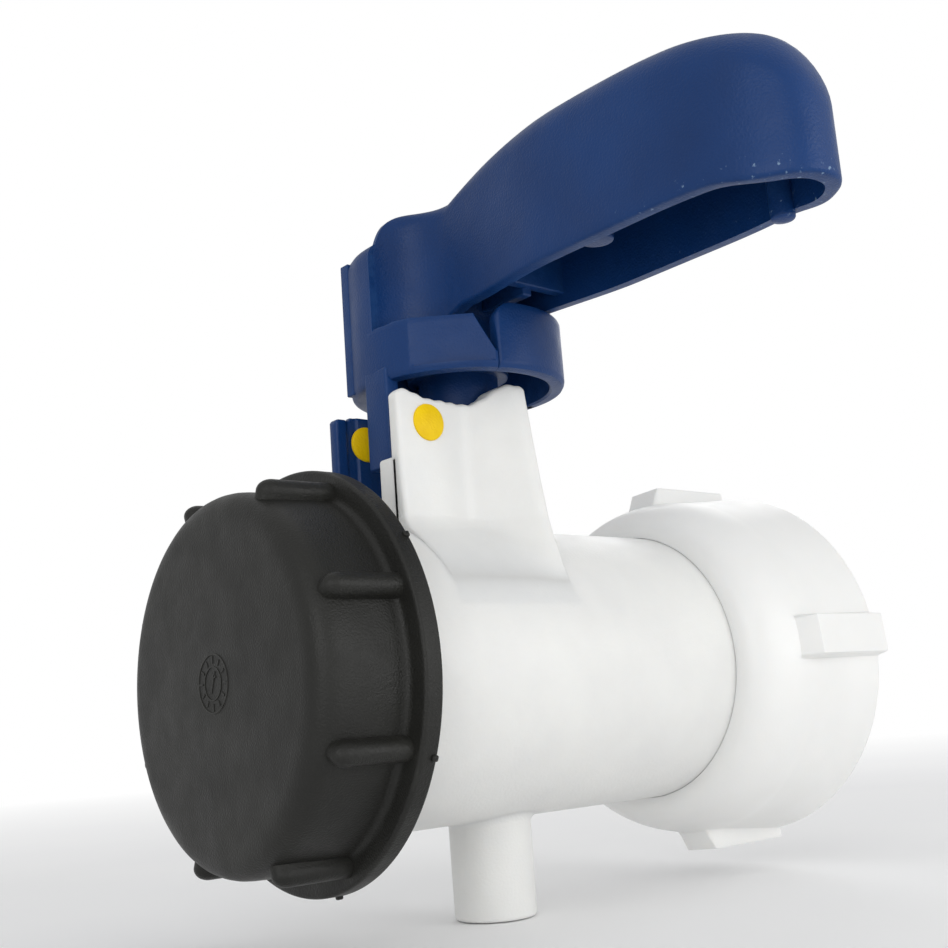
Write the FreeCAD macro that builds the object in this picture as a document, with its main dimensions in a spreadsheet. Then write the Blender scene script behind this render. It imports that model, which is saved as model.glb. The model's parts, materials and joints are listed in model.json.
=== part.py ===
"""Outlet valve of an intermediate bulk container: a butterfly valve with lever, union nut and dust cap.

Frame, in millimetres: the origin is the centre of the union nut's open mouth, +X points out of the
mouth along the flow line, towards the tank, and +Z points up along the stem that carries the lever.
"""
import FreeCAD, Part
import math
import os
import re
import Sketcher
from FreeCAD import Placement, Rotation, Vector

doc = FreeCAD.newDocument("tank_valve")

# ---------------------------------------------------------------- driving sizes
driving = {
    # flow line, measured from the stem axis
    "stem_to_inlet": 90.0,       # stem axis to the nut's open mouth
    "stem_to_outlet": 60.5,      # stem axis to the spout's mouth
    "stem_to_shoulder": 43.9,    # stem axis to the shoulder behind the spout thread
    "stem_to_seat": 66.0,        # stem axis to the tube's face at the tank end
    "bore_radius": 25.0,
    "tube_radius": 31.5,
    "running_gap": 0.05,         # radial play of a shaft in its bearing
    "moving_gap": 0.3,           # play between neighbours that move
    # threads
    "thread_pitch": 6.0,
    "spout_thread_run": 12.0,    # length of the spout's thread along the flow line
    "thread_sink": 0.2,          # how far a ridge's foot is sunk into its wall
    "spout_wall": 2.4,           # bore to the root of the spout's thread
    "spout_thread_depth": 2.5,
    "cap_thread_gap": 0.45,      # radial play between spout and cap threads
    "nut_crest_gap": 3.5,        # tube to the crest of the nut's thread
    "nut_thread_depth": 2.7,
    "ridge_foot": 3.0,           # width of a thread ridge at its foot
    "ridge_crest": 1.6,          # width of a thread ridge at its crest
    # union nut
    "nut_back": 40.0,            # length of the nut, mouth to back opening
    "nut_shoulder_length": 17.0,
    "nut_back_wall": 3.5,        # thread root to the outside, at the shoulder
    "nut_mouth_wall": 5.7,       # thread root to the outside, at the mouth
    "nut_lead_step": 0.5,        # plain lead-in beyond the thread root
    "nut_throat_lip": 1.0,
    "nut_lug_overhang": 0.4,
    "nut_lead_length": 4.5,
    "nut_throat_gap": 0.4,
    "nut_lug_height": 3.0,
    "nut_lug_width": 10.0,
    "nut_lug_tilt": 4.5,
    # split ring and gaskets
    "ring_thickness": 5.0,
    "ring_height": 3.2,          # how far the split ring stands above the tube
    "ring_groove_depth": 1.8,
    "ring_lip": 1.0,
    "ring_split": 4.0,
    "gasket_thickness": 3.0,
    "cap_gasket_thickness": 2.0,
    # dust cap
    "cap_face_wall": 3.0,
    "cap_wall": 6.05,            # thread root to the outside
    "cap_edge_round": 5.0,
    "cap_flange_height": 5.0,
    "cap_flange_thickness": 4.2,
    "cap_lug_width": 4.6,
    "cap_lug_height": 3.2,
    # neck, bearing and spindle
    "neck_radius": 9.2,
    "neck_top": 66.0,
    "spindle_radius": 6.0,
    "foot_radius": 5.0,
    "foot_depth": 45.7,
    "foot_boss_radius": 8.9,
    "foot_boss_bottom": 51.5,
    "collar_radius": 7.0,
    "collar_bottom": 48.0,
    "collar_thickness": 3.0,
    "square_side": 8.0,
    "square_top": 84.5,
    "oring_section": 0.7,
    # butterfly
    "disc_edge_gap": 0.1,
    "disc_half_thickness": 3.2,
    "disc_rim_radius": 22.4,
    "disc_hub_radius": 7.6,
    "seal_half_width": 2.4,
    # lock wing of the body and its rear twin on the handle
    "wing_left": -28.0,
    "wing_right": 5.0,
    "wing_face": 13.0,
    "wing_thickness": 3.5,
    "wing_top": 59.0,
    "gusset_thickness": 3.6,
    "gusset_top": 62.0,
    "gusset_top_reach": 17.0,
    "gusset_foot_reach": 23.0,
    "plug_x": -20.0,
    "plug_z": 52.0,
    "plug_radius": 4.0,
    "plug_shank_radius": 3.2,
    "plug_head": 1.0,
    "plate_inner": 9.6,
    "plate_thickness": 2.9,
    "plate_right": 7.0,
    "plate_bottom": 34.0,
    "plate_top": 58.0,
    "stop_height": 46.0,
    # handle hub
    "skirt_radius": 24.5,
    "skirt_wall": 3.5,
    "skirt_bottom": 62.9,
    "skirt_top": 73.0,
    "hub_top": 96.0,
    "hub_round": 4.0,
    "boss_radius": 12.0,
    "boss_top": 101.0,
    "pocket_radius": 8.0,
    "pocket_floor": 87.5,
    "cover_seat": 98.0,
    "facet_direction": 228.0,
    "facet_distance": 22.7,
    "facet_bottom": 64.6,
    "tab_bottom": 44.0,
    "tab_front": -5.0,
    "tab_rear": 3.0,
    # lever
    "lever_reach": 103.0,
    "lever_wall": 3.0,
    "lever_rim": 78.6,
    "root_half_width": 23.0,
    "root_bottom": 75.0,
    "root_top": 102.6,
    "shoulder_drop": 13.0,
    "waist_half_width": 11.2,
    "grip_half_width": 14.4,
    "grip_end": 68.5,            # stem axis to where the tip starts to round off
    "crown": 110.2,
    "crown_place": 50.0,
    "crown_drop_root": 6.9,
    "crown_drop_tip": 4.5,
    "tip_round": 17.0,
    # handle fixing
    "screw_radius": 2.5,
    "screw_head_radius": 4.5,
    "screw_head_height": 5.0,
    "screw_length": 16.0,
    "washer_radius": 7.4,
    "washer_thickness": 1.2,
    "cover_radius": 9.4,
    "cover_thickness": 2.0,
}
sheet = doc.addObject("Spreadsheet::Sheet", "sizes")
for row, (alias, number) in enumerate(driving.items(), start=1):
    sheet.set(f"A{row}", alias)
    sheet.set(f"B{row}", str(number))
    sheet.setAlias(f"B{row}", alias)
doc.recompute()
size = {alias: float(sheet.get(alias)) for alias in driving}

STEM = "-stem_to_inlet"          # where the stem axis stands on the flow line
SPOUT_ROOT = "bore_radius + spout_wall"
SPOUT_CREST = f"{SPOUT_ROOT} + spout_thread_depth"
CAP_WALL = f"{SPOUT_CREST} + cap_thread_gap"
CAP_OUTSIDE = f"{CAP_WALL} + cap_wall"
CAP_FLANGE = f"{CAP_OUTSIDE} + cap_flange_height"
RING_OUTSIDE = "tube_radius + ring_height"
NUT_CREST = "tube_radius + nut_crest_gap"
NUT_ROOT = f"{NUT_CREST} + nut_thread_depth"
NUT_LEAD = f"{NUT_ROOT} + nut_lead_step"
NUT_SHOULDER = f"{NUT_ROOT} + nut_back_wall"
NUT_MOUTH = f"{NUT_ROOT} + nut_mouth_wall"
ALONG = {
    "x": Rotation(Vector(0, 1, 0), 90),
    "y": Rotation(Vector(1, 0, 0), -90),
    "z": Rotation(),
}


# ---------------------------------------------------------------- helpers
def total(formula):
    """Value of a formula that only adds named sizes."""
    return sum(size[word] for word in formula.split(" + "))


def bind(thing, prop, formula):
    """Tie a property to a formula whose words are names of driving sizes."""
    formula = re.sub(r"[a-z_]+", lambda m: "sizes." + m[0] if m[0] in driving else m[0], str(formula))
    thing.setExpression(prop, formula)


def place(thing, x, y, z, turn=None):
    """Put a thing at a point given by three formulas, turned by a fixed rotation."""
    thing.Placement = Placement(Vector(), turn or Rotation())
    for letter, formula in zip("xyz", (x, y, z)):
        bind(thing, f"Placement.Base.{letter}", formula)


def rod(name, along, radius, start, length, x=STEM, y="0", z="0"):
    """Cylinder along one axis, from its start, with the other two coordinates of its centre line."""
    thing = doc.addObject("Part::Cylinder", name)
    bind(thing, "Radius", radius)
    bind(thing, "Height", length)
    where = {"x": x, "y": y, "z": z}
    where[along] = start
    place(thing, where["x"], where["y"], where["z"], ALONG[along])
    return thing


def block(name, low_x, high_x, low_y, high_y, low_z, high_z):
    """Box between two corners; the X formulas are measured from the stem axis."""
    thing = doc.addObject("Part::Box", name)
    bind(thing, "Length", f"({high_x}) - ({low_x})")
    bind(thing, "Width", f"({high_y}) - ({low_y})")
    bind(thing, "Height", f"({high_z}) - ({low_z})")
    place(thing, f"{STEM} + ({low_x})", low_y, low_z)
    return thing


def join(name, things):
    whole = doc.addObject("Part::MultiFuse", name)
    whole.Shapes = things
    whole.Refine = False
    return whole


def overlap(name, things):
    whole = doc.addObject("Part::MultiCommon", name)
    whole.Shapes = things
    whole.Refine = False
    return whole


def carve(name, base, tools):
    """Base less each tool in turn."""
    for number, tool in enumerate(tools, start=1):
        less = doc.addObject("Part::Cut", name if number == len(tools) else f"{name}_{number}")
        less.Base = base
        less.Tool = tool
        less.Refine = False
        base = less
    return base


def copies_round_flow(name, thing, angles):
    """Copies of a thing turned about the flow line by formulas in degrees."""
    made = []
    for number, angle in enumerate(angles, start=1):
        copy = doc.addObject("Part::Compound", f"{name}_{number}")
        copy.Links = [thing]
        copy.Placement = Placement(Vector(), Rotation(Vector(1, 0, 0), 1))
        bind(copy, "Placement.Rotation.Angle", angle)
        made.append(copy)
    return made


def plane_of(body, role):
    return next(item for item in body.Origin.OriginFeatures if item.Role == role)


def outline(body, role, corners):
    """Closed straight-sided sketch on a plane of the body, each corner tied to two formulas."""
    sketch = body.newObject("Sketcher::SketchObject", body.Name + "_outline")
    sketch.AttachmentSupport = (plane_of(body, role), [""])
    sketch.MapMode = "FlatFace"
    count = len(corners)
    rough = [Vector(50 + 20 * math.cos(turn), 50 + 20 * math.sin(turn), 0)
             for turn in (2 * math.pi * index / count for index in range(count))]
    for index in range(count):
        sketch.addGeometry(Part.LineSegment(rough[index], rough[(index + 1) % count]), False)
    for index in range(count):
        sketch.addConstraint(Sketcher.Constraint("Coincident", index, 2, (index + 1) % count, 1))
    for index, (across, up) in enumerate(corners):
        for kind, formula, number in (("DistanceX", across, rough[index].x),
                                      ("DistanceY", up, rough[index].y)):
            made = sketch.addConstraint(Sketcher.Constraint(kind, -1, 1, index, 1, number))
            bind(sketch, f"Constraints[{made}]", formula)
    return sketch


def lathe_x(name, corners):
    """Solid of revolution about the flow line; corners are (station from the stem, radius)."""
    body = doc.addObject("PartDesign::Body", name)
    sketch = outline(body, "XY_Plane", corners)
    turned = body.newObject("PartDesign::Revolution", name + "_turned")
    turned.Profile = sketch
    turned.ReferenceAxis = (sketch, ["H_Axis"])
    turned.Angle = 360
    place(body, STEM, "0", "0")
    return body


def lathe_z(name, corners):
    """Solid of revolution about the stem; corners are (radius, height)."""
    body = doc.addObject("PartDesign::Body", name)
    sketch = outline(body, "XZ_Plane", corners)
    turned = body.newObject("PartDesign::Revolution", name + "_turned")
    turned.Profile = sketch
    turned.ReferenceAxis = (sketch, ["V_Axis"])
    turned.Angle = 360
    place(body, STEM, "0", "0")
    return body


def own_shape(name, shape):
    """Feature with a shape of its own, made in stem coordinates.

    The compound keeps the shape's own place, which the feature's Placement would replace."""
    thing = doc.addObject("Part::Feature", name)
    thing.Shape = Part.Compound([shape])
    place(thing, STEM, "0", "0")
    return thing


def rounded(name, base, radius, wanted):
    """Base with every edge rounded whose centre and length satisfy the test."""
    doc.recompute()
    thing = doc.addObject("Part::Fillet", name)
    thing.Base = base
    thing.Edges = [(number, radius, radius) for number, edge in enumerate(base.Shape.Edges, start=1)
                   if wanted(edge)]
    return thing


def thread_ridge(start, turns, foot_radius, crest_radius):
    """Right-hand helical ridge of one start about the flow line, from a station along +X.

    Its section is a trapezium from the foot radius to the crest radius, inside or outside."""
    pitch = size["thread_pitch"]
    foot = size["ridge_foot"] / 2
    crest = size["ridge_crest"] / 2
    helix = Part.makeHelix(pitch, pitch * turns, foot_radius)
    section = Part.makePolygon([
        Vector(foot_radius, 0, -foot),
        Vector(crest_radius, 0, -crest),
        Vector(crest_radius, 0, crest),
        Vector(foot_radius, 0, foot),
        Vector(foot_radius, 0, -foot),
    ])
    ridge = Part.Wire(helix.Edges).makePipeShell([section], True, True)
    ridge.rotate(Vector(), Vector(0, 1, 0), 90)
    ridge.translate(Vector(start, 0, 0))
    return ridge


pieces = {}


def piece(node, thing):
    """Name the finished sub-part."""
    thing.Label = node
    pieces[node] = thing
    return thing


# ---------------------------------------------------------------- valve body
def thread_of_spout():
    """Male ridge on the spout, sunk a little into its root."""
    start = -size["stem_to_outlet"] + size["ridge_foot"] * 0.65
    return thread_ridge(start, SPOUT_TURNS, total(SPOUT_ROOT) - size["thread_sink"], total(SPOUT_CREST))


SPOUT_TURNS = size["spout_thread_run"] / size["thread_pitch"]
NECK_ROOT = "bore_radius - 5"    # height inside the tube's wall where upright features start


def gusset():
    """Upright rib at the tank end of the wing, leaning out towards its foot."""
    body = doc.addObject("PartDesign::Body", "wing_gusset")
    sketch = outline(body, "YZ_Plane", [
        ("-wing_face + wing_thickness * 2", NECK_ROOT),
        ("-gusset_foot_reach", NECK_ROOT),
        ("-gusset_top_reach", "gusset_top"),
        ("-wing_face + wing_thickness * 2", "gusset_top"),
    ])
    pad = body.newObject("PartDesign::Pad", "wing_gusset_pad")
    pad.Profile = sketch
    bind(pad, "Length", "gusset_thickness")
    place(body, f"{STEM} + wing_right - gusset_thickness", "0", "0")
    return body


RING_START = "stem_to_seat - ring_lip - ring_thickness"
GROOVE_RADIUS = "tube_radius - ring_groove_depth"
FOOT_BORE = "foot_radius + running_gap"
SPINDLE_BORE = "spindle_radius + running_gap"
BUSH_RADIUS = "collar_radius + moving_gap"


def valve_body():
    solid = join("valve_body_solid", [
        rod("tube", "x", "tube_radius", f"{STEM} - stem_to_shoulder", "stem_to_shoulder + stem_to_seat"),
        rod("spout", "x", SPOUT_ROOT, f"{STEM} - stem_to_outlet", "stem_to_outlet"),
        own_shape("spout_thread", thread_of_spout()),
        rod("neck", "z", "neck_radius", NECK_ROOT, f"neck_top - ({NECK_ROOT})"),
        rod("foot_boss", "z", "foot_boss_radius", "-foot_boss_bottom", f"foot_boss_bottom - ({NECK_ROOT})"),
        block("wing", "wing_left", "wing_right", "-wing_face", "-wing_face + wing_thickness",
              NECK_ROOT, "wing_top"),
        gusset(),
        block("wing_web", "-wing_right", "wing_right", "-wing_face + 1", "-neck_radius / 2",
              NECK_ROOT, "wing_top - 1"),
        block("closed_stop", "wing_left", "-skirt_radius + skirt_wall", "-wing_face + 1",
              "tab_front - moving_gap", NECK_ROOT, "stop_height"),
        block("open_stop", "plate_inner + plate_thickness + moving_gap",
              "plate_inner + plate_thickness + moving_gap + 4", "plate_inner + plate_thickness",
              "skirt_radius - skirt_wall", NECK_ROOT, "stop_height"),
    ])
    groove = lathe_x("ring_groove", [
        (RING_START, GROOVE_RADIUS),
        (f"{RING_START} + ring_thickness", GROOVE_RADIUS),
        (f"{RING_START} + ring_thickness", "tube_radius + 1"),
        (RING_START, "tube_radius + 1"),
    ])
    return piece("valve_body", carve("valve_body_cut", solid, [
        rod("flow_bore", "x", "bore_radius", f"{STEM} - stem_to_outlet - 1", "stem_to_outlet + stem_to_seat + 2"),
        rod("spindle_bore", "z", SPINDLE_BORE, "0", "neck_top"),
        rod("bush_bore", "z", BUSH_RADIUS, "collar_bottom", "neck_top"),
        rod("foot_bore", "z", FOOT_BORE, "-foot_depth - moving_gap", "foot_depth"),
        rod("front_plug_hole", "y", "plug_shank_radius", "-wing_face - 1", "wing_thickness + 2",
            x=f"{STEM} + plug_x", z="plug_z"),
        groove,
    ]))


# ---------------------------------------------------------------- union nut and what it holds
INLET = "stem_to_inlet"
NUT_BACK = "stem_to_inlet - nut_back"
NUT_THROAT = "tube_radius + nut_throat_gap"
NUT_LIP = f"{RING_START} - moving_gap"
DOME_STEPS = 9


def nut_corners():
    dome = []
    for step in range(DOME_STEPS + 1):
        turn = 90 * step / DOME_STEPS
        dome.append((f"{NUT_BACK} + nut_shoulder_length * (1 - cos({turn}))",
                     f"{NUT_THROAT} + nut_throat_lip"
                     f" + ({NUT_SHOULDER} - ({NUT_THROAT}) - nut_throat_lip) * sin({turn})"))
    return [(NUT_BACK, NUT_THROAT)] + dome + [
        (INLET, NUT_MOUTH),
        (INLET, NUT_LEAD),
        (f"{INLET} - nut_lead_length", NUT_LEAD),
        (f"{INLET} - nut_lead_length", NUT_ROOT),
        (NUT_LIP, NUT_ROOT),
        (NUT_LIP, NUT_THROAT),
    ]


def union_nut():
    start = size["stem_to_seat"] + size["gasket_thickness"] + size["ridge_foot"]
    turns = (size["stem_to_inlet"] - size["nut_lead_length"] - start - size["ridge_foot"] / 2) \
        / size["thread_pitch"]
    thread = thread_ridge(start, turns, total(NUT_ROOT) + size["thread_sink"], total(NUT_CREST))
    lug = block("nut_lug", f"{NUT_BACK} + nut_shoulder_length * 0.75", f"{INLET} + nut_lug_overhang",
                "-nut_lug_width / 2", "nut_lug_width / 2",
                f"{NUT_SHOULDER} - nut_lug_height", f"{NUT_MOUTH} + nut_lug_height * 0.8")
    lugs = copies_round_flow("nut_lug_copy", lug, [f"{90 * number} - nut_lug_tilt" for number in range(1, 5)])
    shell = lathe_x("nut_shell", nut_corners())
    lugs_outside = carve("nut_lugs", join("nut_lugs_raw", lugs), [
        rod("nut_lug_trim", "x", f"{NUT_LEAD} + nut_throat_lip", "-nut_back", "nut_back * 1.1")])
    return piece("union_nut", join("union_nut_whole", [shell, lugs_outside, own_shape("nut_thread", thread)]))


def nut_split_ring():
    ring = lathe_x("split_ring_turned", [
        (f"{RING_START} + running_gap", f"{GROOVE_RADIUS} + running_gap"),
        (f"{RING_START} + ring_thickness - running_gap", f"{GROOVE_RADIUS} + running_gap"),
        (f"{RING_START} + ring_thickness - running_gap", RING_OUTSIDE),
        (f"{RING_START} + running_gap", RING_OUTSIDE),
    ])
    slot = block("ring_slot", f"{RING_START} - 1", f"{RING_START} + ring_thickness + 1",
                 "-ring_split / 2", "ring_split / 2", f"-({RING_OUTSIDE}) - 1", "-bore_radius")
    return piece("nut_split_ring", carve("split_ring_cut", ring, [slot]))


def washer_along_flow(node, start, thickness, inner, outer):
    """Flat ring on the flow line."""
    whole = rod(node + "_blank", "x", outer, f"{STEM} + {start}", thickness)
    hole = rod(node + "_hole", "x", inner, f"{STEM} + {start} - 1", f"{thickness} + 2")
    return piece(node, carve(node + "_cut", whole, [hole]))


# ---------------------------------------------------------------- dust cap
CAP_BACK = "stem_to_shoulder - moving_gap * 2.5"
CAP_INSIDE = "stem_to_outlet + cap_gasket_thickness"
CAP_FRONT = f"{CAP_INSIDE} + cap_face_wall"
EDGE_STEPS = 5


def cap_corners():
    edge = []
    for step in range(EDGE_STEPS + 1):
        turn = 90 * step / EDGE_STEPS
        edge.append((f"-({CAP_FRONT}) + cap_edge_round * (1 - cos({turn}))",
                     f"{CAP_OUTSIDE} - cap_edge_round + cap_edge_round * sin({turn})"))
    flange_front = f"-({CAP_BACK}) - cap_flange_thickness"
    counterbore = "tube_radius + nut_throat_gap"
    return [(f"-({CAP_FRONT})", "0")] + edge + [
        (flange_front, f"{CAP_OUTSIDE} + moving_gap"),
        (flange_front, CAP_FLANGE),
        (f"-({CAP_BACK})", CAP_FLANGE),
        (f"-({CAP_BACK})", counterbore),
        ("-stem_to_shoulder - moving_gap * 2", counterbore),
        ("-stem_to_shoulder - moving_gap * 2", CAP_WALL),
        (f"-({CAP_INSIDE})", CAP_WALL),
        (f"-({CAP_INSIDE})", "0"),
    ]


def dust_cap():
    start = -size["stem_to_outlet"] + size["ridge_foot"] * 0.65 + size["thread_pitch"] / 2
    thread = thread_ridge(start, SPOUT_TURNS - 0.45, total(CAP_WALL) + size["thread_sink"],
                          total(SPOUT_ROOT) + size["cap_thread_gap"])
    lug_front = f"{STEM} - ({CAP_FRONT}) + cap_edge_round"
    lug_length = f"{CAP_FRONT} - cap_edge_round - ({CAP_BACK}) - 1"
    lug_axis = f"{CAP_OUTSIDE} + cap_lug_height - cap_lug_width / 2"
    nose = doc.addObject("Part::Sphere", "cap_lug_nose")
    bind(nose, "Radius", "cap_lug_width / 2")
    place(nose, lug_front, "0", lug_axis)
    lug = join("cap_lug", [
        nose,
        rod("cap_lug_round", "x", "cap_lug_width / 2", lug_front, lug_length, y="0", z=lug_axis),
        block("cap_lug_root", f"-({CAP_FRONT}) + cap_edge_round - cap_lug_width / 2 * 0.8", f"-({CAP_BACK}) - 1",
              "-cap_lug_width / 2 * 0.98", "cap_lug_width / 2 * 0.98", f"{CAP_OUTSIDE} - 2", lug_axis),
    ])
    lugs = copies_round_flow("cap_lug_copy", lug, [f"22.5 + {45 * number}" for number in range(8)])
    shell = lathe_x("cap_shell", cap_corners())
    return piece("dust_cap", join("dust_cap_whole", [shell, own_shape("cap_thread", thread)] + lugs))


# ---------------------------------------------------------------- spindle, bearings and butterfly
SQUARE = "square_side / 2"
ORING_WIDTH = "oring_section * 2.3"
UPPER_RINGS = ("bore_radius + 9", "bore_radius + 15")
LOWER_RING = "-bore_radius - 7"


def turned_with_grooves(name, radius, bottom, top, grooves):
    """Round shaft between two heights with a groove for an O-ring at each given height."""
    corners = [("0", bottom), (radius, bottom)]
    for middle in grooves:
        low = f"{middle} - {ORING_WIDTH} / 2"
        high = f"{middle} + {ORING_WIDTH} / 2"
        deep = f"{radius} - oring_section * 2"
        corners += [(radius, low), (deep, low), (deep, high), (radius, high)]
    return lathe_z(name, corners + [(radius, top), ("0", top)])


def spindle():
    solid = join("spindle_solid", [
        turned_with_grooves("spindle_journal", "spindle_radius", "disc_rim_radius", "neck_top", UPPER_RINGS),
        rod("spindle_collar", "z", "collar_radius", "collar_bottom + running_gap", "collar_thickness"),
        block("disc_square", f"-({SQUARE})", SQUARE, f"-({SQUARE})", SQUARE,
              "-disc_rim_radius - 1", "disc_rim_radius + 1"),
        block("handle_square", f"-({SQUARE})", SQUARE, f"-({SQUARE})", SQUARE,
              "neck_top - 1", "square_top"),
        turned_with_grooves("spindle_foot", "foot_radius", "-foot_depth", "-disc_rim_radius", [LOWER_RING]),
    ])
    hole = rod("screw_hole", "z", "screw_radius", "square_top - screw_length - 1", "screw_length + 2")
    return piece("spindle", carve("spindle_cut", solid, [hole]))


def oring(name, radius, height):
    ring = doc.addObject("Part::Torus", name)
    bind(ring, "Radius1", f"{radius} - oring_section")
    bind(ring, "Radius2", "oring_section")
    place(ring, STEM, "0", height)
    return ring


def spindle_o_rings():
    pair = doc.addObject("Part::Compound", "o_ring_pair")
    pair.Links = [oring(f"spindle_o_ring_{number}", "spindle_radius", height)
                  for number, height in enumerate(UPPER_RINGS, start=1)]
    return piece("spindle_o_rings", pair)


def spindle_bush():
    blank = rod("bush_blank", "z", BUSH_RADIUS, "collar_bottom + collar_thickness + moving_gap",
                "neck_top - collar_bottom - collar_thickness - moving_gap")
    hole = rod("bush_hole", "z", SPINDLE_BORE, "collar_bottom", "neck_top")
    return piece("spindle_bush", carve("bush_cut", blank, [hole]))


def butterfly_disc():
    slab = block("disc_slab", "-disc_half_thickness", "disc_half_thickness",
                 "-bore_radius", "bore_radius", "-bore_radius", "bore_radius")
    hub = rod("disc_hub", "z", "disc_hub_radius", "-bore_radius", "bore_radius * 2")
    rim = rod("disc_rim", "x", "disc_rim_radius", f"{STEM} - bore_radius", "bore_radius * 2")
    solid = overlap("disc_solid", [rim, join("disc_raw", [slab, hub])])
    socket = block("disc_socket", f"-({SQUARE}) - running_gap", f"{SQUARE} + running_gap",
                   f"-({SQUARE}) - running_gap", f"{SQUARE} + running_gap", "-bore_radius", "bore_radius")
    return piece("butterfly_disc", carve("disc_cut", solid, [socket]))


def disc_seal():
    ball = doc.addObject("Part::Sphere", "seal_ball")
    bind(ball, "Radius", "bore_radius - disc_edge_gap")
    place(ball, STEM, "0", "0")
    band = block("seal_band", "-seal_half_width", "seal_half_width",
                 "-bore_radius", "bore_radius", "-bore_radius", "bore_radius")
    pads = rod("seal_pads", "z", "disc_hub_radius + 1", "-bore_radius", "bore_radius * 2")
    solid = overlap("seal_solid", [ball, join("seal_raw", [band, pads])])
    return piece("disc_seal", carve("seal_cut", solid, [
        rod("seal_inside", "x", "disc_rim_radius", f"{STEM} - bore_radius", "bore_radius * 2"),
        rod("seal_journal", "z", SPINDLE_BORE, "-bore_radius", "bore_radius * 2"),
    ]))


# ---------------------------------------------------------------- lock plugs
def lock_plug(node, head_face, depth):
    """Yellow plug pressed into a plate along Y: its head stands on the face nearest -Y."""
    shank = rod(node + "_shank", "y", "plug_shank_radius", head_face, depth, x=f"{STEM} + plug_x", z="plug_z")
    head = rod(node + "_head", "y", "plug_radius", f"{head_face} - plug_head", "plug_head",
               x=f"{STEM} + plug_x", z="plug_z")
    return piece(node, join(node + "_whole", [shank, head]))


# ---------------------------------------------------------------- handle
def swell(low, high, share):
    """Smooth step from one value to another as the share runs from 0 to 1."""
    share = max(0.0, min(1.0, share))
    return low + (high - low) * share * share * (3 - 2 * share)


WAIST_PLACE = size["root_half_width"] - size["waist_half_width"] + 1.0
LEVER_STATIONS = 6
TIP_STATIONS = (15, 30, 45, 60, 72, 82)


def lever_section(place_out, half_width, inset):
    """Closed section across the lever: upright flanks, rounded shoulders and a slightly crowned back."""
    top = lever_top(place_out) - inset
    bottom = lever_bottom(place_out) if not inset else size["skirt_top"]
    shoulder = min(swell(4.0, 7.5, (place_out - WAIST_PLACE) / 30) - inset * 0.6, half_width * 0.8)
    flat = half_width - shoulder
    slope = shoulder * math.sqrt(0.5)

    def at(across, up):
        return Vector(across, -place_out, up)

    left = Part.Arc(at(-half_width, top - shoulder), at(-flat - slope, top - shoulder + slope), at(-flat, top))
    back = Part.Arc(at(-flat, top), at(0, top + flat * 0.08), at(flat, top))
    right = Part.Arc(at(flat, top), at(flat + slope, top - shoulder + slope), at(half_width, top - shoulder))
    return Part.Wire([
        Part.makeLine(at(-half_width, bottom), at(-half_width, top - shoulder)),
        left.toShape(), back.toShape(), right.toShape(),
        Part.makeLine(at(half_width, top - shoulder), at(half_width, bottom)),
        Part.makeLine(at(half_width, bottom), at(-half_width, bottom)),
    ])


def lever_top(place_out):
    """Height of the lever's back: a shallow crown that runs over at the tip."""
    crown_place = size["crown_place"]
    if place_out < crown_place:
        share = (crown_place - place_out) / (crown_place - WAIST_PLACE)
        return size["crown"] - size["crown_drop_root"] * share ** 2
    share = (place_out - crown_place) / (size["lever_reach"] - crown_place)
    return size["crown"] - size["crown_drop_tip"] * share ** 2 - size["tip_round"] * share ** 10


def lever_bottom(place_out):
    """Height of the lever's open rim, a little lower at the tip."""
    end = size["lever_reach"]
    return swell(size["lever_rim"], size["lever_rim"] - 1.6, (place_out - end + 18) / 12)


def lever_bar(inset):
    """The grip as a loft of sections from the waist to the tip, inset by a wall."""
    grip = size["grip_half_width"] - inset
    waist = size["waist_half_width"] - inset
    straight = size["grip_end"] - WAIST_PLACE
    tip = size["lever_reach"] - inset - size["grip_end"]
    sections = []
    for step in range(LEVER_STATIONS):
        share = step / (LEVER_STATIONS - 1)
        sections.append(lever_section(WAIST_PLACE + straight * share, swell(waist, grip, share / 0.6), inset))
    for angle in TIP_STATIONS:
        turn = math.radians(angle)
        sections.append(lever_section(size["grip_end"] + tip * math.sin(turn), grip * math.cos(turn), inset))
    return Part.makeLoft(sections, True, False)


def flare_plan(inset, back):
    """Plan face of the root: from the waist each flank flares out in a quarter circle."""
    root = size["root_half_width"]
    flare = root - size["waist_half_width"] + inset
    last = math.asin((WAIST_PLACE - back) / flare) if inset else math.pi / 2

    def on_flare(turn, side):
        return Vector(side * (root - flare * math.cos(turn)), flare * math.sin(turn) - WAIST_PLACE, 0)

    arcs = [Part.Arc(on_flare(0, side), on_flare(last / 2, side), on_flare(last, side)).toShape()
            for side in (-1, 1)]
    ends = [on_flare(last, side) for side in (-1, 1)]
    rear = [Vector(end.x, -back, 0) for end in ends]
    edges = [arcs[0], arcs[1], Part.makeLine(on_flare(0, -1), on_flare(0, 1)), Part.makeLine(rear[0], rear[1])]
    if not inset:
        edges += [Part.makeLine(ends[0], rear[0]), Part.makeLine(ends[1], rear[1])]
    return Part.Face(Part.Wire(Part.__sortEdges__(edges)))


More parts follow.
